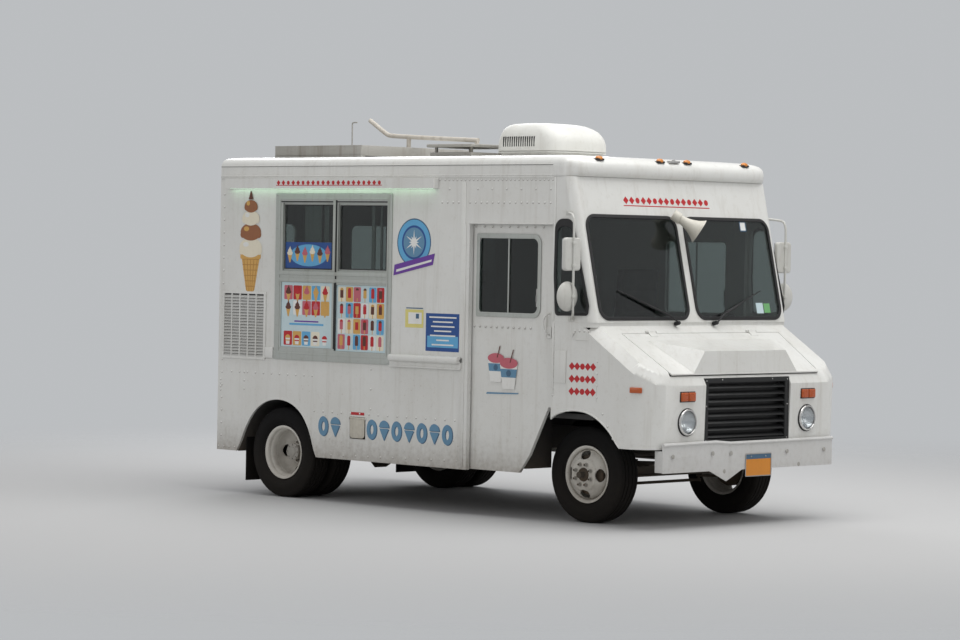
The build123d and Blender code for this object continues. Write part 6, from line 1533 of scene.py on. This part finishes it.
for line in cowl_corner.data.edges:
    ends = [cowl_corner.data.vertices[i].co for i in line.vertices]
    line.select = abs(ends[0].z - ends[1].z) > 0.01 and min(ends[0].x, ends[1].x) > 1.8
bpy.ops.object.mode_set(mode="EDIT")
bpy.ops.mesh.bevel(offset=0.066, segments=6, profile=0.5)
bpy.ops.object.mode_set(mode="OBJECT")
settle(smooth(cowl_corner, 35), "cowl_ledge", "chassis", "body_paint", enamel)

# Driver's seat: a steel pedestal with a sprung cushion and back in cracked black vinyl, crowned
# between welted seams, with two sewn channels across each.
vinyl, vinyl_tree, vinyl_shader = new_look("seat_vinyl")
vinyl_place = node(vinyl_tree, "TexCoord").outputs["Object"]
vinyl_grain = node(vinyl_tree, "TexVoronoi", {"Vector": vinyl_place, "Scale": 420.0})
vinyl_wear = node(vinyl_tree, "TexNoise", {"Vector": vinyl_place, "Scale": 9.0, "Detail": 5.0})
wire(vinyl_tree, blend_colours(vinyl_tree, span(vinyl_tree, vinyl_wear.outputs["Fac"], 0.45, 0.75),
                               (0.022, 0.021, 0.022, 1), (0.075, 0.07, 0.066, 1)),
     vinyl_shader.inputs["Base Color"])
wire(vinyl_tree, span(vinyl_tree, vinyl_wear.outputs["Fac"], 0.3, 0.8, 0.38, 0.62),
     vinyl_shader.inputs["Roughness"])
wire(vinyl_tree,
     node(vinyl_tree, "Bump",
          {"Strength": 0.35, "Distance": 0.0008, "Height": vinyl_grain.outputs["Distance"]}).outputs[0],
     vinyl_shader.inputs["Normal"])


def cushion_pad(length, width, depth, crown, seams):
    """A pad lying on its back: crowned on top, drawn in at its welts and at the sewn channels."""
    pad = edited(box_piece(-length / 2, length / 2, -width / 2, width / 2, 0, depth, 0.0),
                 (bpy.ops.mesh.subdivide, {"number_cuts": 23}))
    for spot in pad.data.vertices:
        u, v, w = 2 * spot.co.x / length, 2 * spot.co.y / width, spot.co.z / depth
        roundness = (1 - u ** 4) * (1 - v ** 4)
        channel = sum(math.exp(-((spot.co.x - seam) / 0.01) ** 2) for seam in seams)
        if w > 0.5:
            spot.co.z += (w - 0.5) * 2 * (crown * roundness - 0.016 * channel * (1 - v ** 6))
        squeeze = 0.012 * (1 - math.sin(math.pi * min(1.0, max(0.0, w))))
        spot.co.x -= squeeze * u * abs(u) * (1.0 if abs(u) > 0.9 else 0.0)
        spot.co.y -= squeeze * v * abs(v) * (1.0 if abs(v) > 0.9 else 0.0)
    modify(pad, "BEVEL", width=0.008, segments=3, limit_method="ANGLE", angle_limit=math.radians(50))
    modify(pad, "SUBSURF", levels=1, render_levels=1)
    return smooth(pad, 60)


seat_x = FRONT_AXLE_X - 0.575
cushion = cushion_pad(0.53, 0.45, 0.105, 0.022, (-0.1, 0.09))
cushion.matrix_world = Matrix.Translation((seat_x, 0.59, 1.191))
settle(cushion, "seat_cushion", "chassis", "seat", vinyl)
backrest = cushion_pad(0.68, 0.43, 0.085, 0.018, (-0.17, 0.0, 0.17))
backrest.matrix_world = Matrix.Translation((FRONT_AXLE_X - 0.893, 0.59, 1.602)) @ Matrix.Rotation(
    math.radians(95.7), 4, "Y")
settle(backrest, "seat_back", "chassis", "seat", vinyl)
pedestal_parts = [axle_box(-0.79, -0.35, 0.402, 0.778, 0.842, 0.862, 0.004),
                  axle_box(-0.7, -0.44, 0.47, 0.71, 0.862, 1.15, 0.012),
                  axle_box(-0.8, -0.34, 0.4, 0.78, 1.15, 1.19, 0.008)]
settle(smooth(joined(pedestal_parts), 40), "seat_pedestal", "chassis", "black_metal", dark_gap,
       "driver_seat")

# Steering wheel: a thin-rimmed two-hand wheel in black plastic, three spokes and a horn button.
wheel_axis = Vector((-0.225, 0.0, 0.268)).normalized()
wheel_centre = Vector((FRONT_AXLE_X - 0.02, 0.59, 1.418))
rim_centre = wheel_centre + wheel_axis * 0.046
rim_section = [(0.2215 + 0.0125 * math.cos(math.tau * i / 14), 0.0115 * math.sin(math.tau * i / 14))
               for i in range(14)]
wheel_parts = [turned(rim_section, tuple(rim_centre), tuple(wheel_axis), 72),
               turned([(0.0, 0.02), (0.03, 0.019), (0.042, 0.01), (0.046, -0.004), (0.04, -0.018),
                       (0.022, -0.04), (0.0, -0.04)], tuple(wheel_centre + wheel_axis * 0.01),
                      tuple(wheel_axis), 36, closed=False)]
wheel_right = wheel_axis.cross(Vector((0, 1, 0))).normalized()
for turn in (90, 210, 330):
    out = wheel_right * math.cos(math.radians(turn)) + Vector((0, 1, 0)) * math.sin(math.radians(turn))
    root = wheel_centre + out * 0.03
    mid = wheel_centre + out * 0.12 + wheel_axis * 0.012
    tip = rim_centre + out * 0.214
    wheel_parts.append(curve_piece([[tuple(root), tuple(mid), tuple(tip)]], radius=0.0095, resolution=3,
                                   smooth_line=True))
settle(smooth(joined(wheel_parts), 50), "steering_wheel_ring", "steering_wheel", "black_plastic", dark_gap,
       "steering_wheel")

# Window rubbers: a moulded black gasket round each windscreen pane, with soft corners, and one
# round the arched quarter window behind each screen pillar. They replace the plain rings.
PANE_Y0, PANE_Y1, PANE_S0, PANE_S1, PANE_RADIUS = 0.046, 1.082, 0.026, 0.832, 0.095


def grown_pane(side, grow):
    middle, half = side * (PANE_Y0 + PANE_Y1) / 2, (PANE_Y1 - PANE_Y0) / 2 + grow
    return rounded(rect(middle - half, middle + half, PANE_S0 - grow, PANE_S1 + grow), PANE_RADIUS + grow,
                   8)


rubber_parts = [plate([grown_pane(side, 0.01), grown_pane(side, -0.018)], 0.0085, on_screen(0.0004), 0.003)
                for side in (-1, 1)]
arch_outer = [(-0.118, 2.318), (0.062, 2.318), (0.11, 2.138), (0.242, 1.664), (0.232, 1.589),
              (-0.103, 1.582), (-0.124, 1.883)]
arch_inner = [(-0.092, 2.258), (0.04, 2.258), (0.088, 2.133), (0.216, 1.655), (0.208, 1.612),
              (-0.08, 1.606), (-0.097, 1.883)]
arch_radii = [0.08, 0.08, 0.1, 0.03, 0.03, 0.03, 0.3]
inner_radii = [0.06, 0.06, 0.1, 0.02, 0.02, 0.02, 0.3]
quarter_ring = side_plate([rounded(arch_outer[::-1], arch_radii[::-1], 8),
                           rounded(arch_inner[::-1], inner_radii[::-1], 8)], 0.008, CAB_SIDE_Y - 0.0003,
                          0.003)
rubber_parts.append(both_sides(quarter_ring))
settle(smooth(joined(rubber_parts), 50), "window_rubbers", "chassis", "gasket", dark_gap, "window_gaskets")
